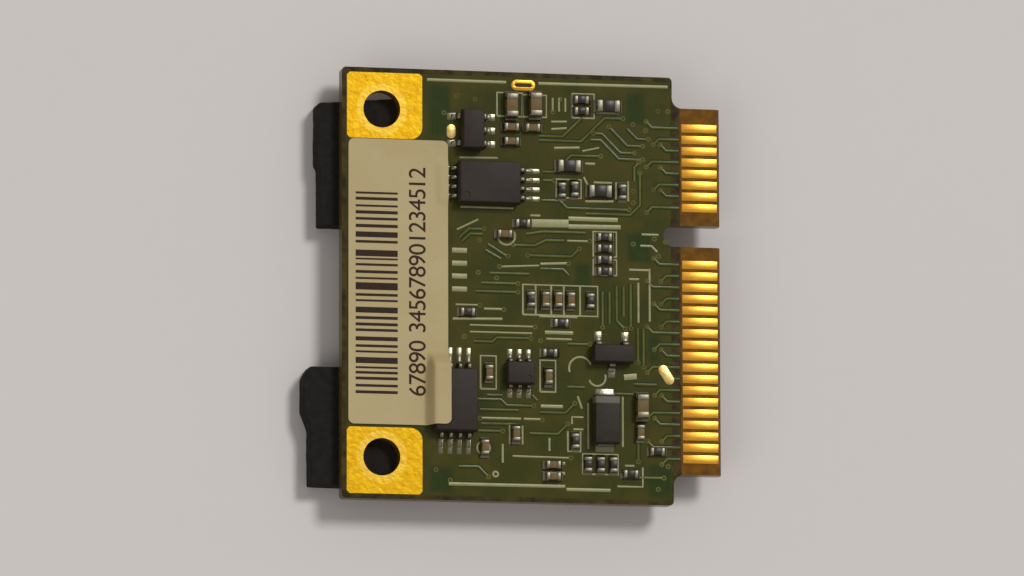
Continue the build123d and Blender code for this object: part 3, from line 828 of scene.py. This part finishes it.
# Pale strips of the label side, by their width
STRIPS = {
    0.12: [
        [(9, -2.78), (13.5, -2.78)], [(9, -3.25), (13.4, -3.25)], [(17, 9.62), (18.2, 9.9)],
    ],
    0.13: [
        [(11.2, 1.35), (13.9, 1.5)], [(8, -1.38), (9.6, -1.38)], [(12, -11.82), (16, -11.86)],
        [(15.9, 3.3), (17.4, 3.3)], [(8.1, 3.85), (9.6, 4.6)],
    ],
    0.14: [
        [(14.4, -3.6), (16.2, -3.6)], [(13.9, -2.05), (16.6, -2.05)],
        [(14.8, 11.62), (15.9, 11.66)], [(14.8, 11.1), (15.9, 11.2)],
        *[[(x, 12.35), (x, 13.3)] for x in (14.9, 15.35, 15.8)],
    ],
    0.15: [
        [(10, -1.62), (11.3, -1.62)], [(9.8, -9.22), (12.6, -9.22)], [(12.8, -9.22), (14, -9.22)],
        [(21.2, 3.9), (22.4, 3.9)], [(21.1, 3.1), (21.9, 3.1), (22.3, 2.7)],
        [(16.6, -7.55), (16.9, -8.4)],
    ],
    0.16: [
        [(15, 9.78), (16.8, 9.86)], [(17.2, 8.75), (17.9, 8.75)], [(17.2, 6.1), (19.2, 6.15)],
    ],
    0.17: [[(7.8, -2.38), (11.3, -2.3)], [(14, 1.62), (15.9, 1.72)]],
    0.2: [
        [(6, 14.28), (11.6, 14.28)], [(13.9, 14.28), (23.1, 14.34)], [(18.2, 12.76), (19.6, 12.76)],
        [(18, 13.1), (19.7, 13.1)],
    ],
    0.22: [
        [(7.5, -13.85), (15.7, -13.85)], [(15.8, -14.05), (18.9, -14.05)],
        [(14, -8.3), (15.55, -8.3)], [(14.1, -12.25), (15.7, -12.25)],
        [(14.1, -12.95), (15.7, -12.95)],
    ],
    0.24: [[(14.3, -3.15), (16.3, -3.15)], [(18, 12.4), (19.7, 12.4)]],
    0.3: [[(16, 4.85), (19.5, 4.85)], [(16, 4.3), (19.7, 4.35)]],
    0.34: [[(7.75, y), (8.8, y)] for y in (2.4, 1.5, 0.6, -0.3)],
    0.4: [[(19.9, -6.15), (20.8, -6.05)]],
    0.55: [[(13.2, 4.45), (16, 4.5)]],
}

# Printed lines of the label side
SILK = [
    [(20.95, 0.5), (20.95, -2.3)], [(21.75, 1.5), (21.75, -2.2)], [(20.3, 1.4), (21.75, 1.4)],
    [(20.3, 0.75), (21, 0.75)], outline(12.75, -1.95, 18.05, 0.15),
    *[[(x, 0.1), (x, -1.9)] for x in (13.65, 14.75, 15.65, 16.8)],
    arc(16.8, -5.6, 0.8, 20, 200), arc(18, -6.2, 0.6, 200, 380),
    [(15.9, -10), (15.9, -11.4), (16.8, -11.4), (16.8, -10)], [(16.3, -9.85), (17, -9.85)],
    [(11.8, -9.7), (11.8, -11)], [(12.7, -9.7), (12.7, -11)], arc(9.95, -11.3, 0.45, 0, 360, 14),
    [(11.3, -11), (11.3, -12.3)], [(21.2, -12.4), (21.2, -13.75), (19.4, -13.75)],
    [(17.35, -8), (17.35, -11.2)], [(19.8, -7.5), (19.8, -11)], outline(10.95, 11.9, 12.75, 13.55),
    outline(12.75, 11.9, 14.45, 13.45), outline(16.3, 11.95, 17.85, 13.65),
    outline(15.15, 6.3, 16.9, 7.6), [(17.1, 7.8), (17.35, 7.3), (17.35, 6.4)],
    [(17.8, 7.45), (19.1, 7.45)], [(19.4, 7.5), (19.4, 6.3)], [(20.25, 7.6), (20.25, 6.2)],
    [(14.6, -10.5), (14.6, -11.4)], [(17, -9), (16.2, -9), (16.2, -9.5)],
    [(19.95, -12.3), (20.6, -12.3)], arc(10.8, -13.1, 0.18, 0, 360, 10),
    outline(16.95, -12.95, 19.45, -11.55), outline(9.75, -7.2, 10.85, -4.9),
    outline(13.95, -7.3, 15.05, -5.1), [(8.35, 5.45), (12.1, 5.45)], [(8.3, 8.9), (11, 8.95)],
    [(13.3, 5), (14, 5)], arc(11.6, 3.5, 0.62, 150, 390), outline(17.75, 0.95, 19.4, 2.05),
    outline(17.75, 2.25, 19.4, 4),
]

# Vias of the label side
VIAS = [
    (20.6, 11.6), (21.5, 11.2), (21.3, 10.1), (21.7, 10.6), (22.4, 12.6), (23.1, 12.6),
    (21.3, 9.15), (20.6, 6.9), (20.6, 6.1), (22.4, 2.4), (12.1, 2.9), (11.1, 1.35), (16, 1.7),
    (9.7, -1.38), (11.4, -1.65), (13.6, -2.8), (14, -3.75), (9.7, -9.25), (14.1, -9.25),
    (16.1, -11.85), (17.8, 10.9), (18.3, 9.3), (15, 7.5), (20.3, 5.6), (19.9, 12), (17.3, 12.2),
    (20.7, 9.6), (21, 8.95), (18.9, 11.4), (10, 3.95), (11.7, 2.1), (17.5, 3.3), (13.3, -3.6),
    (18.4, -2.7), (20, -2.75), (20.4, -2.7), (20.9, -5.1), (21.3, -5.4), (17.5, -3.9),
    (16.4, -8.05), (11.3, -10.1), (15.9, -9.5), (13.5, -8.3), (20.7, -7.3), (22.7, -13.1),
    (10.3, -13.3), (21.1, 8.2), (20.9, -12), (8.1, 13.2), (9.4, 13), (15.4, 13.2), (14.9, 12.3),
    (7.2, 12), (12.4, 0.2), (10.9, 0.55), (12.4, -0.4), (9.6, 0.9), (9.7, 3.15), (13.1, 2.2),
    (16.75, 2.75), (22.9, 3.4), (22.1, 3.6), (20.6, 3.2), (8.6, -3.6), (6.6, -12.9), (7.6, -13.6),
    (22.3, -13.9), (23, -12.3),
]


def dress_nodes(finish_by_node):
    """Gives CAD nodes that keep their shape their materials."""
    for node, finish in finish_by_node.items():
        dress(nodes[node], finish)


class CARD_OT_board(bpy.types.Operator):
    """Finish the board, its plated fields and its bare pads"""
    bl_idname = "card.board"
    bl_label = "Board"

    def execute(self, context):
        dress_nodes({
            "circuit_board": "board",
            "screw_plating_upper": "field",
            "screw_plating_lower": "field",
        })
        self.pads()
        return {"FINISHED"}

    def pads(self):
        """The gold ring, and the tinned pads with their pillowed solder."""
        merged_copy("test_pads")
        start_edit()
        bpy.ops.mesh.select_all(action="SELECT")
        bpy.ops.mesh.separate(type="LOOSE")
        end_edit()
        loose = bpy.context.selected_objects
        ring, *tinned = sorted(loose, key=lambda pad: -len(pad.data.vertices))
        ring.name = "gold_ring"
        round_edges(ring, 0.01 * MM)
        hand_over(ring, "gold", "gold", "test_pads")
        tinned = join(tinned, "tinned_pads")
        round_edges(tinned, 0.018 * MM, 3, 60)
        hand_over(tinned, "cream", "gold")


def lay_traces(side, runs, level):
    """Covered traces on one face of the board, each with its wider and lower clearance."""
    board = settings("board")
    width, height = board.trace_width, board.trace_height
    layers = [("clearances_", 2.3, 0.3, "bare"), ("traces_", 1, 1, "copper")]
    for name, times_width, times_height, finish in layers:
        layer = strokes(name + side, width * times_width, height * times_height, runs, level)
        hand_over(layer, finish, "board_laminate")


def lay_vias(side, places, level):
    """Low rings where vias lie under the mask of one face."""
    board = settings("board")
    ring = start_with(
        bpy.ops.mesh.primitive_torus_add, (1, 1, 0.5), major_segments=12, minor_segments=6,
        major_radius=board.via_radius, minor_radius=board.via_wall,
    )
    spots = [placed((board_left + x * MM, y * MM, level), 0) for x, y in places]
    vias = copies(ring, spots, "vias_" + side)
    smooth(vias)
    hand_over(vias, "copper", "board_laminate")


class CARD_OT_copper(bpy.types.Operator):
    """Raise the covered traces, the pale strips and the vias"""
    bl_idname = "card.copper"
    bl_label = "Copper"

    def execute(self, context):
        from_contacts = contact_traces()
        lay_traces("label_side", TRACES + from_contacts, board_top)
        lay_vias("label_side", VIAS + [run[-1] for run in from_contacts], board_top)
        height = settings("board").trace_height
        parts = [strokes("strips", width * MM, height, runs) for width, runs in STRIPS.items()]
        hand_over(join(parts, "pale_strips"), "strip", "board_laminate")
        return {"FINISHED"}


def print_silk(name, runs, level=board_top):
    piece = strokes(name, 0.13 * MM, settings("board").silk_height, runs, level)
    hand_over(piece, "silk", "board_laminate")


class CARD_OT_silk(bpy.types.Operator):
    """Print the plain outlines and marks on the board"""
    bl_idname = "card.silk"
    bl_label = "Silk print"

    def execute(self, context):
        print_silk("silk_marks", SILK)
        return {"FINISHED"}


class CARD_OT_contacts(bpy.types.Operator):
    """Model the gold edge contacts of both sides"""
    bl_idname = "card.contacts"
    bl_label = "Edge contacts"

    def execute(self, context):
        for node in ("contacts_label_side", "contacts_shield_side"):
            hand_over(bevelled_blocks(node, 0.012 * MM), "gold", "gold", node)
        return {"FINISHED"}


# The label

def ramp(value, low, high):
    """Smooth rise from 0 at low to 1 at high."""
    share = min(1.0, max(0.0, (value - low) / (high - low)))
    return share * share * (3 - 2 * share)


class Drape:
    """How the paper lies over the feet of one chip and over the side of another."""

    def __init__(self, label):
        self.label = label
        self.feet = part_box("memory_chip_leads")
        self.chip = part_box("switch_chip_body")
        self.last_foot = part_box("switch_chip_leads")[1].y

    def lift(self, x, y):
        """Height of the paper over the board at a place."""
        feet_low, feet_high = self.feet
        chip_low, chip_high = self.chip
        soft = 0.6 * MM
        fold = 0.1 * MM
        foot_height = 0.17 * MM
        wave_height = 0.012 * MM
        wave_density = 260
        along_feet = ramp(y, feet_low.y - soft, feet_low.y)
        along_feet *= 1 - ramp(y, feet_high.y, feet_high.y + soft)
        over_feet = ramp(x, feet_low.x - soft, feet_low.x) * along_feet
        over_chip = ramp(x, chip_low.x - self.label.ramp, chip_low.x - fold / 2)
        over_chip *= 1 - ramp(y, chip_high.y + fold, self.last_foot + 3 * fold)
        lift = max(over_feet * foot_height, over_chip * (chip_high.z - board_top))
        across = math.exp(-(((x - chip_low.x - 2 * fold) / fold) ** 2)) * over_chip
        along = math.exp(-(((y - chip_high.y - fold) / fold) ** 2))
        along *= ramp(x, chip_low.x, chip_low.x + 2 * fold)
        wave = noise.noise(Vector((x, y, 0)) * wave_density) * wave_height
        return lift + self.label.crest * max(across, along) + wave * (1 - over_chip * 0.5)

    def lay(self, piece):
        """Lifts a flat piece by as much as the paper is lifted there."""
        for vertex in piece.data.vertices:
            vertex.co.z += self.lift(vertex.co.x, vertex.co.y)


# Bars of the label: the middle in Y and the width
BARS = [
    (6.2, 0.14), (5.8, 0.2), (5.3, 0.14), (4.85, 0.22), (4.4, 0.18), (3.9, 0.22), (3.3, 0.38),
    (2.8, 0.18), (2, 0.44), (1.6, 0.12), (1.2, 0.16), (0.7, 0.2), (0.25, 0.14), (-0.3, 0.5),
    (-0.9, 0.18), (-1.3, 0.14), (-1.95, 0.4), (-2.5, 0.2), (-2.95, 0.2), (-3.35, 0.18),
    (-3.95, 0.28), (-4.45, 0.18), (-4.85, 0.14), (-5.45, 0.42), (-5.95, 0.14), (-6.3, 0.18),
    (-6.7, 0.2), (-7.2, 0.18), (-7.65, 0.2),
]

# Plain digits of the label and the Y where each row starts
DIGITS = [("12", 6.5), ("3456789012345", -3.5), ("67890", -7.9)]

# How far the ink stands up from the paper, in millimetres
INK = 0.012


class CARD_OT_label(bpy.types.Operator):
    """Drape the paper label and print its bars and digits"""
    bl_idname = "card.label"
    bl_label = "Label"

    def execute(self, context):
        label = settings("label")
        low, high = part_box("product_label")
        drape = Drape(label)
        self.paper(label, drape, low, high)
        face = (low.z - board_top + label.thickness) / MM
        self.bars(drape, face)
        self.digits(label, drape, face)
        return {"FINISHED"}

    def paper(self, label, drape, low, high):
        """Sheet with round corners, cut finely enough to bend, and laid over the chips."""
        scale = (high.x - low.x, high.y - low.y, 1)
        centre = (low + high) / 2
        paper = start_with(bpy.ops.mesh.primitive_plane_add, scale, size=1, location=centre)
        start_edit()
        bpy.ops.mesh.select_all(action="SELECT")
        bpy.ops.mesh.bevel(offset=label.corner, segments=6, affect="VERTICES")
        for axis, step in ((0, 0.1 * MM), (1, 0.2 * MM)):
            side = high[axis] - low[axis]
            count = int(side / step)
            for i in range(1, count):
                point = Vector(low)
                point[axis] = low[axis] + side * i / count
                cut(point, (axis == 0, axis == 1, 0))
        end_edit()
        for vertex in paper.data.vertices:
            vertex.co.z = low.z + label.thickness
        drape.lay(paper)
        paper.name = "label_paper"
        shape_with(paper, "SOLIDIFY", thickness=label.thickness, offset=-1)
        smooth(paper, 80)
        hand_over(paper, "paper", "label_paper", "product_label")

    def bars(self, drape, face):
        """Bars across the label, cut into short lengths so that they follow the paper."""
        left, right, lengths, sunk = 0.95, 3.9, 12, 0.02
        blocks = []
        for y, width in BARS:
            corner = on_board(left, y - width / 2, face - sunk)
            other = on_board(right, y + width / 2, face + INK)
            blocks.append(add_block(corner, other))
        printed = join(blocks, "label_bars")
        start_edit()
        for i in range(1, lengths):
            cut(on_board(left + (right - left) * i / lengths, 0), (1, 0, 0))
        end_edit()
        drape.lay(printed)
        hand_over(printed, "ink", "label_paper")

    def digits(self, label, drape, face):
        """Digits beside the bars, which read along the label."""
        baseline, size_for_height, spacing = 5.85, 1.35, 0.92
        words = []
        for word, start in DIGITS:
            deselect()
            place = on_board(baseline, start, face)
            bpy.ops.object.text_add(location=place, rotation=(0, 0, math.pi / 2))
            text = bpy.context.active_object
            text.data.body = word
            text.data.size = label.digit_height * size_for_height
            text.data.extrude = INK * MM
            text.data.space_character = spacing
            bpy.ops.object.convert(target="MESH")
            words.append(bpy.context.active_object)
        digits = join(words, "label_digits")
        settle(digits)
        drape.lay(digits)
        hand_over(digits, "ink", "label_paper")


# Foam

class CARD_OT_foam(bpy.types.Operator):
    """Model the two foam pads with soft, pitted faces"""
    bl_idname = "card.foam"
    bl_label = "Foam pads"

    def execute(self, context):
        foam = settings("foam")
        for node in ("foam_pad_upper", "foam_pad_lower"):
            pad = merged_copy(node)
            pad.name = node + "_soft"
            shape_with(pad, "REMESH", mode="VOXEL", voxel_size=foam.voxel)
            shape_with(pad, "SMOOTH", factor=0.5, iterations=3)
            self.pit(pad, foam.pitting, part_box(node)[1].z)
            smooth(pad, 60)
            hand_over(pad, "foam", "black_foam", node)
        return {"FINISHED"}

    def pit(self, pad, depth, top):
        """Presses uneven dents into a pad, and keeps it under the board."""
        fine, coarse, base = 3.1, 0.6, 0.8
        outward = [vertex.normal.copy() for vertex in pad.data.vertices]
        for vertex, way in zip(pad.data.vertices, outward):
            place = vertex.co / MM
            dent = noise.noise(place * fine) * 0.5 + noise.noise(place * coarse)
            vertex.co -= way * depth * (base + dent)
            vertex.co.z = min(vertex.co.z, top)


# Moulded packages

def gull_lead(reach, rise, width, moulding):
    """Strip that leaves the body level at the origin, bends down and ends in a flat foot."""
    thickness = moulding.lead_thickness
    shoulder = 0.32 * reach
    slope = 0.14 * reach
    foot = reach - shoulder - slope
    strip = start_with(
        bpy.ops.mesh.primitive_plane_add, (shoulder, width, 1), size=1,
        location=(shoulder / 2, 0, rise),
    )
    start_edit()
    choose(strip, "EDGE", lambda edge: middle(edge).x > shoulder * 0.99)
    for step in ((slope, 0, thickness / 2 - rise), (foot, 0, 0)):
        bpy.ops.mesh.extrude_region_move(TRANSFORM_OT_translate={"value": step})
    bends = (shoulder, shoulder + slope)
    near = 10 * TOUCH
    choose(strip, "EDGE", lambda edge: any(abs(middle(edge).x - x) < near for x in bends))
    bpy.ops.mesh.bevel(offset=moulding.bend, segments=4)
    end_edit()
    shape_with(strip, "SOLIDIFY", thickness=thickness, offset=0)
    round_edges(strip, 0.015 * MM, 1, 50)
    return strip


def package_body(node, moulding, parting):
    """Moulded body with a parting line, drafted sides and rounded edges."""
    low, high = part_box(node)
    body = add_block(low, high)
    centre = (low + high) / 2
    slope = math.tan(math.radians(8))
    start_edit()
    for side in (-1, 1):
        cut((0, 0, parting + side * moulding.lead_thickness / 2), (0, 0, 1))
    for level in (low.z, high.z):
        draft = 2 * abs(level - parting) * slope
        choose(body, "VERT", lambda vertex: abs(vertex.co.z - level) < TOUCH)
        shares = (1 - draft / (high.x - low.x), 1 - draft / (high.y - low.y), 1)
        bpy.ops.transform.resize(value=shares, center_override=(centre.x, centre.y, level))
    end_edit()
    round_edges(body, moulding.body_edge, 3)
    body.name = node + "_moulded"
    return body


def cut_dot(body, x, y, top, radius):
    """Shallow round recess that marks the first lead."""
    cutter = start_with(
        bpy.ops.mesh.primitive_cylinder_add, vertices=32, radius=radius * MM, depth=0.12 * MM,
        location=(x, y, top),
    )
    shape_with(body, "BOOLEAN", operation="DIFFERENCE", object=cutter, solver="EXACT")
    bpy.data.objects.remove(cutter)
    smooth(body)


PACKAGES = ["memory_chip", "switch_chip", "regulator", "logic_chip", "transistor"]

# Recess at the first lead: its distance from the two sides and its radius, in millimetres
DOTS = {"memory_chip": (0.54, 0.24), "logic_chip": (0.46, 0.16)}


def lead_place(low, high, lead_low, lead_high):
    """Where a lead leaves a body, and how far it is turned about Z."""
    clear = 0.1 * MM
    centre = (lead_low + lead_high) / 2
    if lead_high.x > high.x + clear:
        return high.x, centre.y, 0
    if lead_low.x < low.x - clear:
        return low.x, centre.y, 180
    if lead_high.y > high.y:
        return centre.x, high.y, 90
    return centre.x, low.y, -90


class CARD_OT_packages(bpy.types.Operator):
    """Model the leaded packages, with their bent leads"""
    bl_idname = "card.packages"
    bl_label = "Leaded packages"

    def execute(self, context):
        moulding = settings("moulding")
        for package in PACKAGES:
            self.package(package, moulding)
        lands = bevelled_blocks("chip_lands", 0.008 * MM)
        hand_over(lands, "solder", "solder", "chip_lands")
        return {"FINISHED"}

    def package(self, package, moulding):
        low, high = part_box(package + "_body")
        leads = solids_of(package + "_leads")
        first_low, first_high = leads[0]
        parting = first_high.z - moulding.lead_thickness / 2
        body = package_body(package + "_body", moulding, parting)
        if package in DOTS:
            inset, radius = DOTS[package]
            from_left = package == "memory_chip"
            x = low.x + inset * MM if from_left else high.x - inset * MM
            cut_dot(body, x, low.y + inset * MM, high.z, radius)
        hand_over(body, "moulding", "moulding", package + "_body")
        foot = first_low.z
        places = []
        for lead_low, lead_high in leads:
            x, y, turn = lead_place(low, high, lead_low, lead_high)
            places.append(placed((x, y, foot), turn))
        size = first_high - first_low
        along_x = lead_place(low, high, first_low, first_high)[2] in (0, 180)
        reach, width = (size.x, size.y) if along_x else (size.y, size.x)
        lead = gull_lead(reach, parting - foot, width, moulding)
        piece = copies(lead, places, package + "_bent_leads")
        smooth(piece, 50)
        hand_over(piece, "tin", "tin", package + "_leads")


class CARD_OT_polar(bpy.types.Operator):
    """Model the polar capacitor and its folded terminals"""
    bl_idname = "card.polar"
    bl_label = "Polar capacitor"

    def execute(self, context):
        moulding = settings("moulding")
        low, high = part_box("polar_capacitor_body")
        body = package_body("polar_capacitor_body", moulding, (board_top + high.z) / 2)
        hand_over(body, "polar", "grey_moulding", "polar_capacitor_body")
        terminals = "polar_capacitor_terminals"
        hand_over(softened(terminals, 0.02 * MM), "tin", "tin", terminals)
        return {"FINISHED"}


# Two terminal chips

def chip_terminals(kind):
    """Each end terminal of the chips on the label side, with the way that it points."""
    middles_of_bodies = [(low + high) / 2 for low, high in solids_of(kind + "_bodies")]
    found = []
    for low, high in solids_of(kind + "_terminals"):
        centre = (low + high) / 2
        way = centre - min(middles_of_bodies, key=lambda body: (body - centre).length)
        if abs(way.x) > abs(way.y):
            turn = 0 if way.x > 0 else 180
        else:
            turn = 90 if way.y > 0 else -90
        found.append((low, high, turn))
    return found


def solder_fillet(width, height):
    """Solder that climbs the end of a terminal, which stands at x = 0, in a hollow curve."""
    reach = 0.22 * MM
    back = 0.2 * MM
    edge = 0.05 * MM
    climb = 0.62 * height
    side = width / 2
    block = add_block(Vector((-back, -side - edge, 0)), Vector((reach, side + edge, climb)))
    start_edit()
    choose(block, "EDGE", lambda e: middle(e).z > climb * 0.99 and middle(e).x > reach * 0.99)
    bpy.ops.mesh.bevel(offset=min(reach, climb) * 0.93, segments=5, profile=0.18)
    choose(block, "EDGE", lambda e: middle(e).z > climb * 0.99 and abs(middle(e).y) > side)
    bpy.ops.mesh.bevel(offset=edge * 0.9, segments=2, profile=0.3)
    end_edit()
    smooth(block, 60)
    return block


class CARD_OT_chips(bpy.types.Operator):
    """Model the chip capacitors and resistors, with the solder at their ends"""
    bl_idname = "card.chips"
    bl_label = "Two terminal chips"

    def execute(self, context):
        end_edge = settings("metal").block_edge
        for kind, finish in (("capacitor", "ceramic"), ("resistor", "glaze")):
            bodies = bevelled_blocks(kind + "_bodies", 0.02 * MM)
            hand_over(bodies, finish, kind + "_" + finish, kind + "_bodies")
            ends = bevelled_blocks(kind + "_terminals", end_edge)
            hand_over(ends, "tin", "tin", kind + "_terminals")
            self.solder(kind)
        return {"FINISHED"}

    def solder(self, kind):
        """One fillet for each size of terminal, copied to all its ends."""
        sizes = {}
        for low, high, turn in chip_terminals(kind):
            size = high - low
            length, width = (size.x, size.y) if turn in (0, 180) else (size.y, size.x)
            angle = math.radians(turn)
            centre = (low + high) / 2
            place = Vector((centre.x, centre.y, low.z))
            place += Vector((math.cos(angle), math.sin(angle), 0)) * (length / 2)
            key = (round(width / MM, 3), round(size.z / MM, 3))
            sizes.setdefault(key, []).append(placed(place, turn))
        parts = []
        for (width, height), places in sorted(sizes.items()):
            parts.append(copies(solder_fillet(width * MM, height * MM), places, "solder"))
        piece = join(parts, kind + "_solder")
        smooth(piece, 60)
        hand_over(piece, "solder", "solder")


def on_face(node):
    """Lowest X and Y and highest X and Y of a node, in millimetres on the board."""
    low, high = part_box(node)
    return (low.x - board_left) / MM, low.y / MM, (high.x - board_left) / MM, high.y / MM


class CARD_OT_shield_side(bpy.types.Operator):
    """Finish the shield, the antenna jacks and the sealed pieces"""
    bl_idname = "card.shield_side"
    bl_label = "Shield side"

    def execute(self, context):
        dress_nodes({
            "shield_frame": "shield",
            "radio_chip_body": "moulding",
            "radio_chip_pads": "tin",
            "crystal": "lid",
            "amplifier_chips": "moulding",
            "antenna_switches": "moulding",
            "inner_coils": "ferrite",
            "inner_capacitor_bodies": "ceramic",
            "inner_capacitor_terminals": "tin",
            "inner_resistor_bodies": "glaze",
            "inner_resistor_terminals": "tin",
        })
        self.cover(settings("metal").cover_bend)
        hand_over(softened("jack_bases", 0.03 * MM), "ivory", "ivory_plastic", "jack_bases")
        for node in ("jack_shells", "jack_pins", "jack_tabs"):
            hand_over(softened(node, 0.012 * MM), "gold", "gold", node)
        self.board_face(board_low.z)
        return {"FINISHED"}

    def cover(self, bend):
        """Shield cover with a bend radius all round its rim."""
        cover = merged_copy("shield_cover")
        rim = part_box("shield_cover")[0].z + TOUCH
        start_edit()
        choose(cover, "EDGE", lambda edge: max(vertex.co.z for vertex in edge.verts) < rim)
        bpy.ops.mesh.bevel(offset=bend, segments=4)
        end_edit()
        smooth(cover)
        cover.name = "shield_cover_folded"
        hand_over(cover, "shield", "shield_metal", "shield_cover")

    def board_face(self, under):
        """Traces, vias, solder and print on the face of the board that the shield stands on."""
        frame_left, frame_low, frame_right, frame_high = on_face("shield_frame")
        contact_x = on_face("contacts_shield_side")[0]
        contacts = middles("contacts_shield_side")
        tab_x = on_face("jack_tabs")[2]
        jacks = middles("jack_pins")
        low_jack = jacks[0]

        overlap, aside, turn = 0.2, 2.2, 1.2
        runs = [[(contact_x + overlap, y), (frame_right, y)] for y in contacts]
        runs += [[(tab_x, y), (frame_left, y)] for y in jacks]
        y = low_jack - aside
        runs.append([(0.6, y), (tab_x, y), (tab_x + turn, y + turn)])
        lay_traces("shield_side", runs, under)

        edge_row, pitch, count = 14.3, 1.3, 13
        stitches = [(6.6 + pitch * i, side * edge_row) for i in range(count) for side in (-1, 1)]
        stitches += [(5.7, low_jack + 1.2 + 0.9 * i) for i in range(4)]
        stitches += [(4.9, y + 0.7) for y in jacks]
        stitches += [(23.2, y) for y in contacts[::3]]
        lay_vias("shield_side", stitches, under)

        foot_width, foot_height = 0.3 * MM, 0.09 * MM
        edge = outline(frame_left, frame_low, frame_right, frame_high)
        foot = strokes("frame_solder", foot_width, foot_height, [edge], under)
        hand_over(foot, "solder", "solder")

        ring_left, ring_right, half = 0.55, 3.9, 1.78
        rings = [outline(ring_left, y - half, ring_right, y + half) for y in jacks]
        print_silk("silk_shield_side", rings, under)


# Stage

def add_lamp(name, way, strength, softness):
    """Distant lamp that shines from this way and looks this many degrees wide."""
    data = bpy.data.lights.new(name, "SUN")
    data.energy = strength
    data.angle = math.radians(softness)
    lamp = bpy.data.objects.new(name, data)
    lamp.location = way
    lamp.rotation_euler = way.to_track_quat("Z", "Y").to_euler()
    bpy.context.scene.collection.objects.link(lamp)


class CARD_OT_stage(bpy.types.Operator):
    """Set the floor, the lamps, the even light and the camera"""
    bl_idname = "card.stage"
    bl_label = "Stage"

    def execute(self, context):
        stage = settings("stage")
        self.floor(stage)
        self.sky(context.scene, stage)
        add_lamp("key", Vector((0.22, 0.26, 0.5)), stage.key_power, 15)
        add_lamp("fill", Vector((-0.45, -0.3, 0.4)), stage.fill_power, 35)
        self.camera(context.scene, stage)
        context.scene.view_settings.view_transform = "Standard"
        return {"FINISHED"}

    def floor(self, stage):
        floor = start_with(
            bpy.ops.mesh.primitive_plane_add, size=stage.floor_size,
            location=(0, 0, cad_bounds[0].z),
        )
        floor.name = "floor"
        finish = Finish("Pale floor", Specular_IOR_Level=0.3)
        finish.colour(finish.drift(stage.floor, shade(stage.floor, 0.97), 25, 0.3))
        finish.roughness(finish.effect("Grain", Scale=900, Depth=1), 0.55, 0.7)
        floor.data.materials.append(finish.material)

    def sky(self, scene, stage):
        """Even light for the card, and the floor's colour wherever the sky itself is seen."""
        world = bpy.data.worlds.new("Even light")
        scene.world = world
        world.use_nodes = True
        wiring = Wiring(world.node_tree)
        even = world.node_tree.nodes["Background"]
        even.inputs["Color"].default_value = (1, 0.985, 0.96, 1)
        even.inputs["Strength"].default_value = stage.sky
        pale = wiring.add("ShaderNodeBackground", {"Color": stage.floor, "Strength": 1.0})
        rays = wiring.add("ShaderNodeLightPath").outputs
        seen = wiring.maths("ADD", rays["Is Camera Ray"], rays["Is Transmission Ray"])
        seen = wiring.maths("ADD", seen, rays["Is Glossy Ray"])
        mix = wiring.add("ShaderNodeMixShader", {0: seen, 1: even.outputs[0], 2: pale.outputs[0]})
        wiring.give(world.node_tree.nodes["World Output"].inputs["Surface"], mix.outputs[0])

    def camera(self, scene, stage):
        """Camera at the photograph's place, aimed at the card's middle through a longer lens."""
        place = on_board(-104.9, -80.7, 535.7)
        photo_up = Vector((-0.030, 0.988, 0.149))
        back = (place - (cad_bounds[0] + cad_bounds[1]) / 2).normalized()
        right = photo_up.cross(back).normalized()
        up = back.cross(right)
        data = bpy.data.cameras.new("camera")
        data.lens = stage.lens
        data.sensor_width = 36
        data.clip_start = 0.01
        data.clip_end = 20
        camera = bpy.data.objects.new("camera", data)
        turn = Matrix((right, up, back)).transposed().to_4x4()
        camera.matrix_world = Matrix.Translation(place) @ turn
        scene.collection.objects.link(camera)
        scene.camera = camera


OPERATORS = [
    CARD_OT_board, CARD_OT_copper, CARD_OT_silk, CARD_OT_contacts, CARD_OT_label, CARD_OT_foam,
    CARD_OT_packages, CARD_OT_polar, CARD_OT_chips, CARD_OT_shield_side, CARD_OT_stage,
]


class CARD_PT_panel(bpy.types.Panel):
    """Lists the steps that dress the card"""
    bl_idname = "CARD_PT_panel"
    bl_label = "Wifi card"
    bl_space_type = "VIEW_3D"
    bl_region_type = "UI"
    bl_category = "Wifi card"

    def draw(self, context):
        for operator in OPERATORS:
            self.layout.operator(operator.bl_idname)
        for group, kind in SETTINGS:
            box = self.layout.box()
            box.label(text=group.title())
            for name in kind.__annotations__:
                box.prop(settings(group), name)


def register():
    for group, kind in SETTINGS:
        bpy.utils.register_class(kind)
        setattr(bpy.types.Scene, "wifi_card_" + group, bpy.props.PointerProperty(type=kind))
    for operator in OPERATORS:
        bpy.utils.register_class(operator)
    bpy.utils.register_class(CARD_PT_panel)


def unregister():
    bpy.utils.unregister_class(CARD_PT_panel)
    for operator in reversed(OPERATORS):
        bpy.utils.unregister_class(operator)
    for group, kind in reversed(SETTINGS):
        delattr(bpy.types.Scene, "wifi_card_" + group)
        bpy.utils.unregister_class(kind)


def main():
    register()
    bpy.ops.card.board()
    bpy.ops.card.copper()
    bpy.ops.card.silk()
    bpy.ops.card.contacts()
    bpy.ops.card.label()
    bpy.ops.card.foam()
    bpy.ops.card.packages()
    bpy.ops.card.polar()
    bpy.ops.card.chips()
    bpy.ops.card.shield_side()
    bpy.ops.card.stage()


if __name__ == "__main__":
    main()
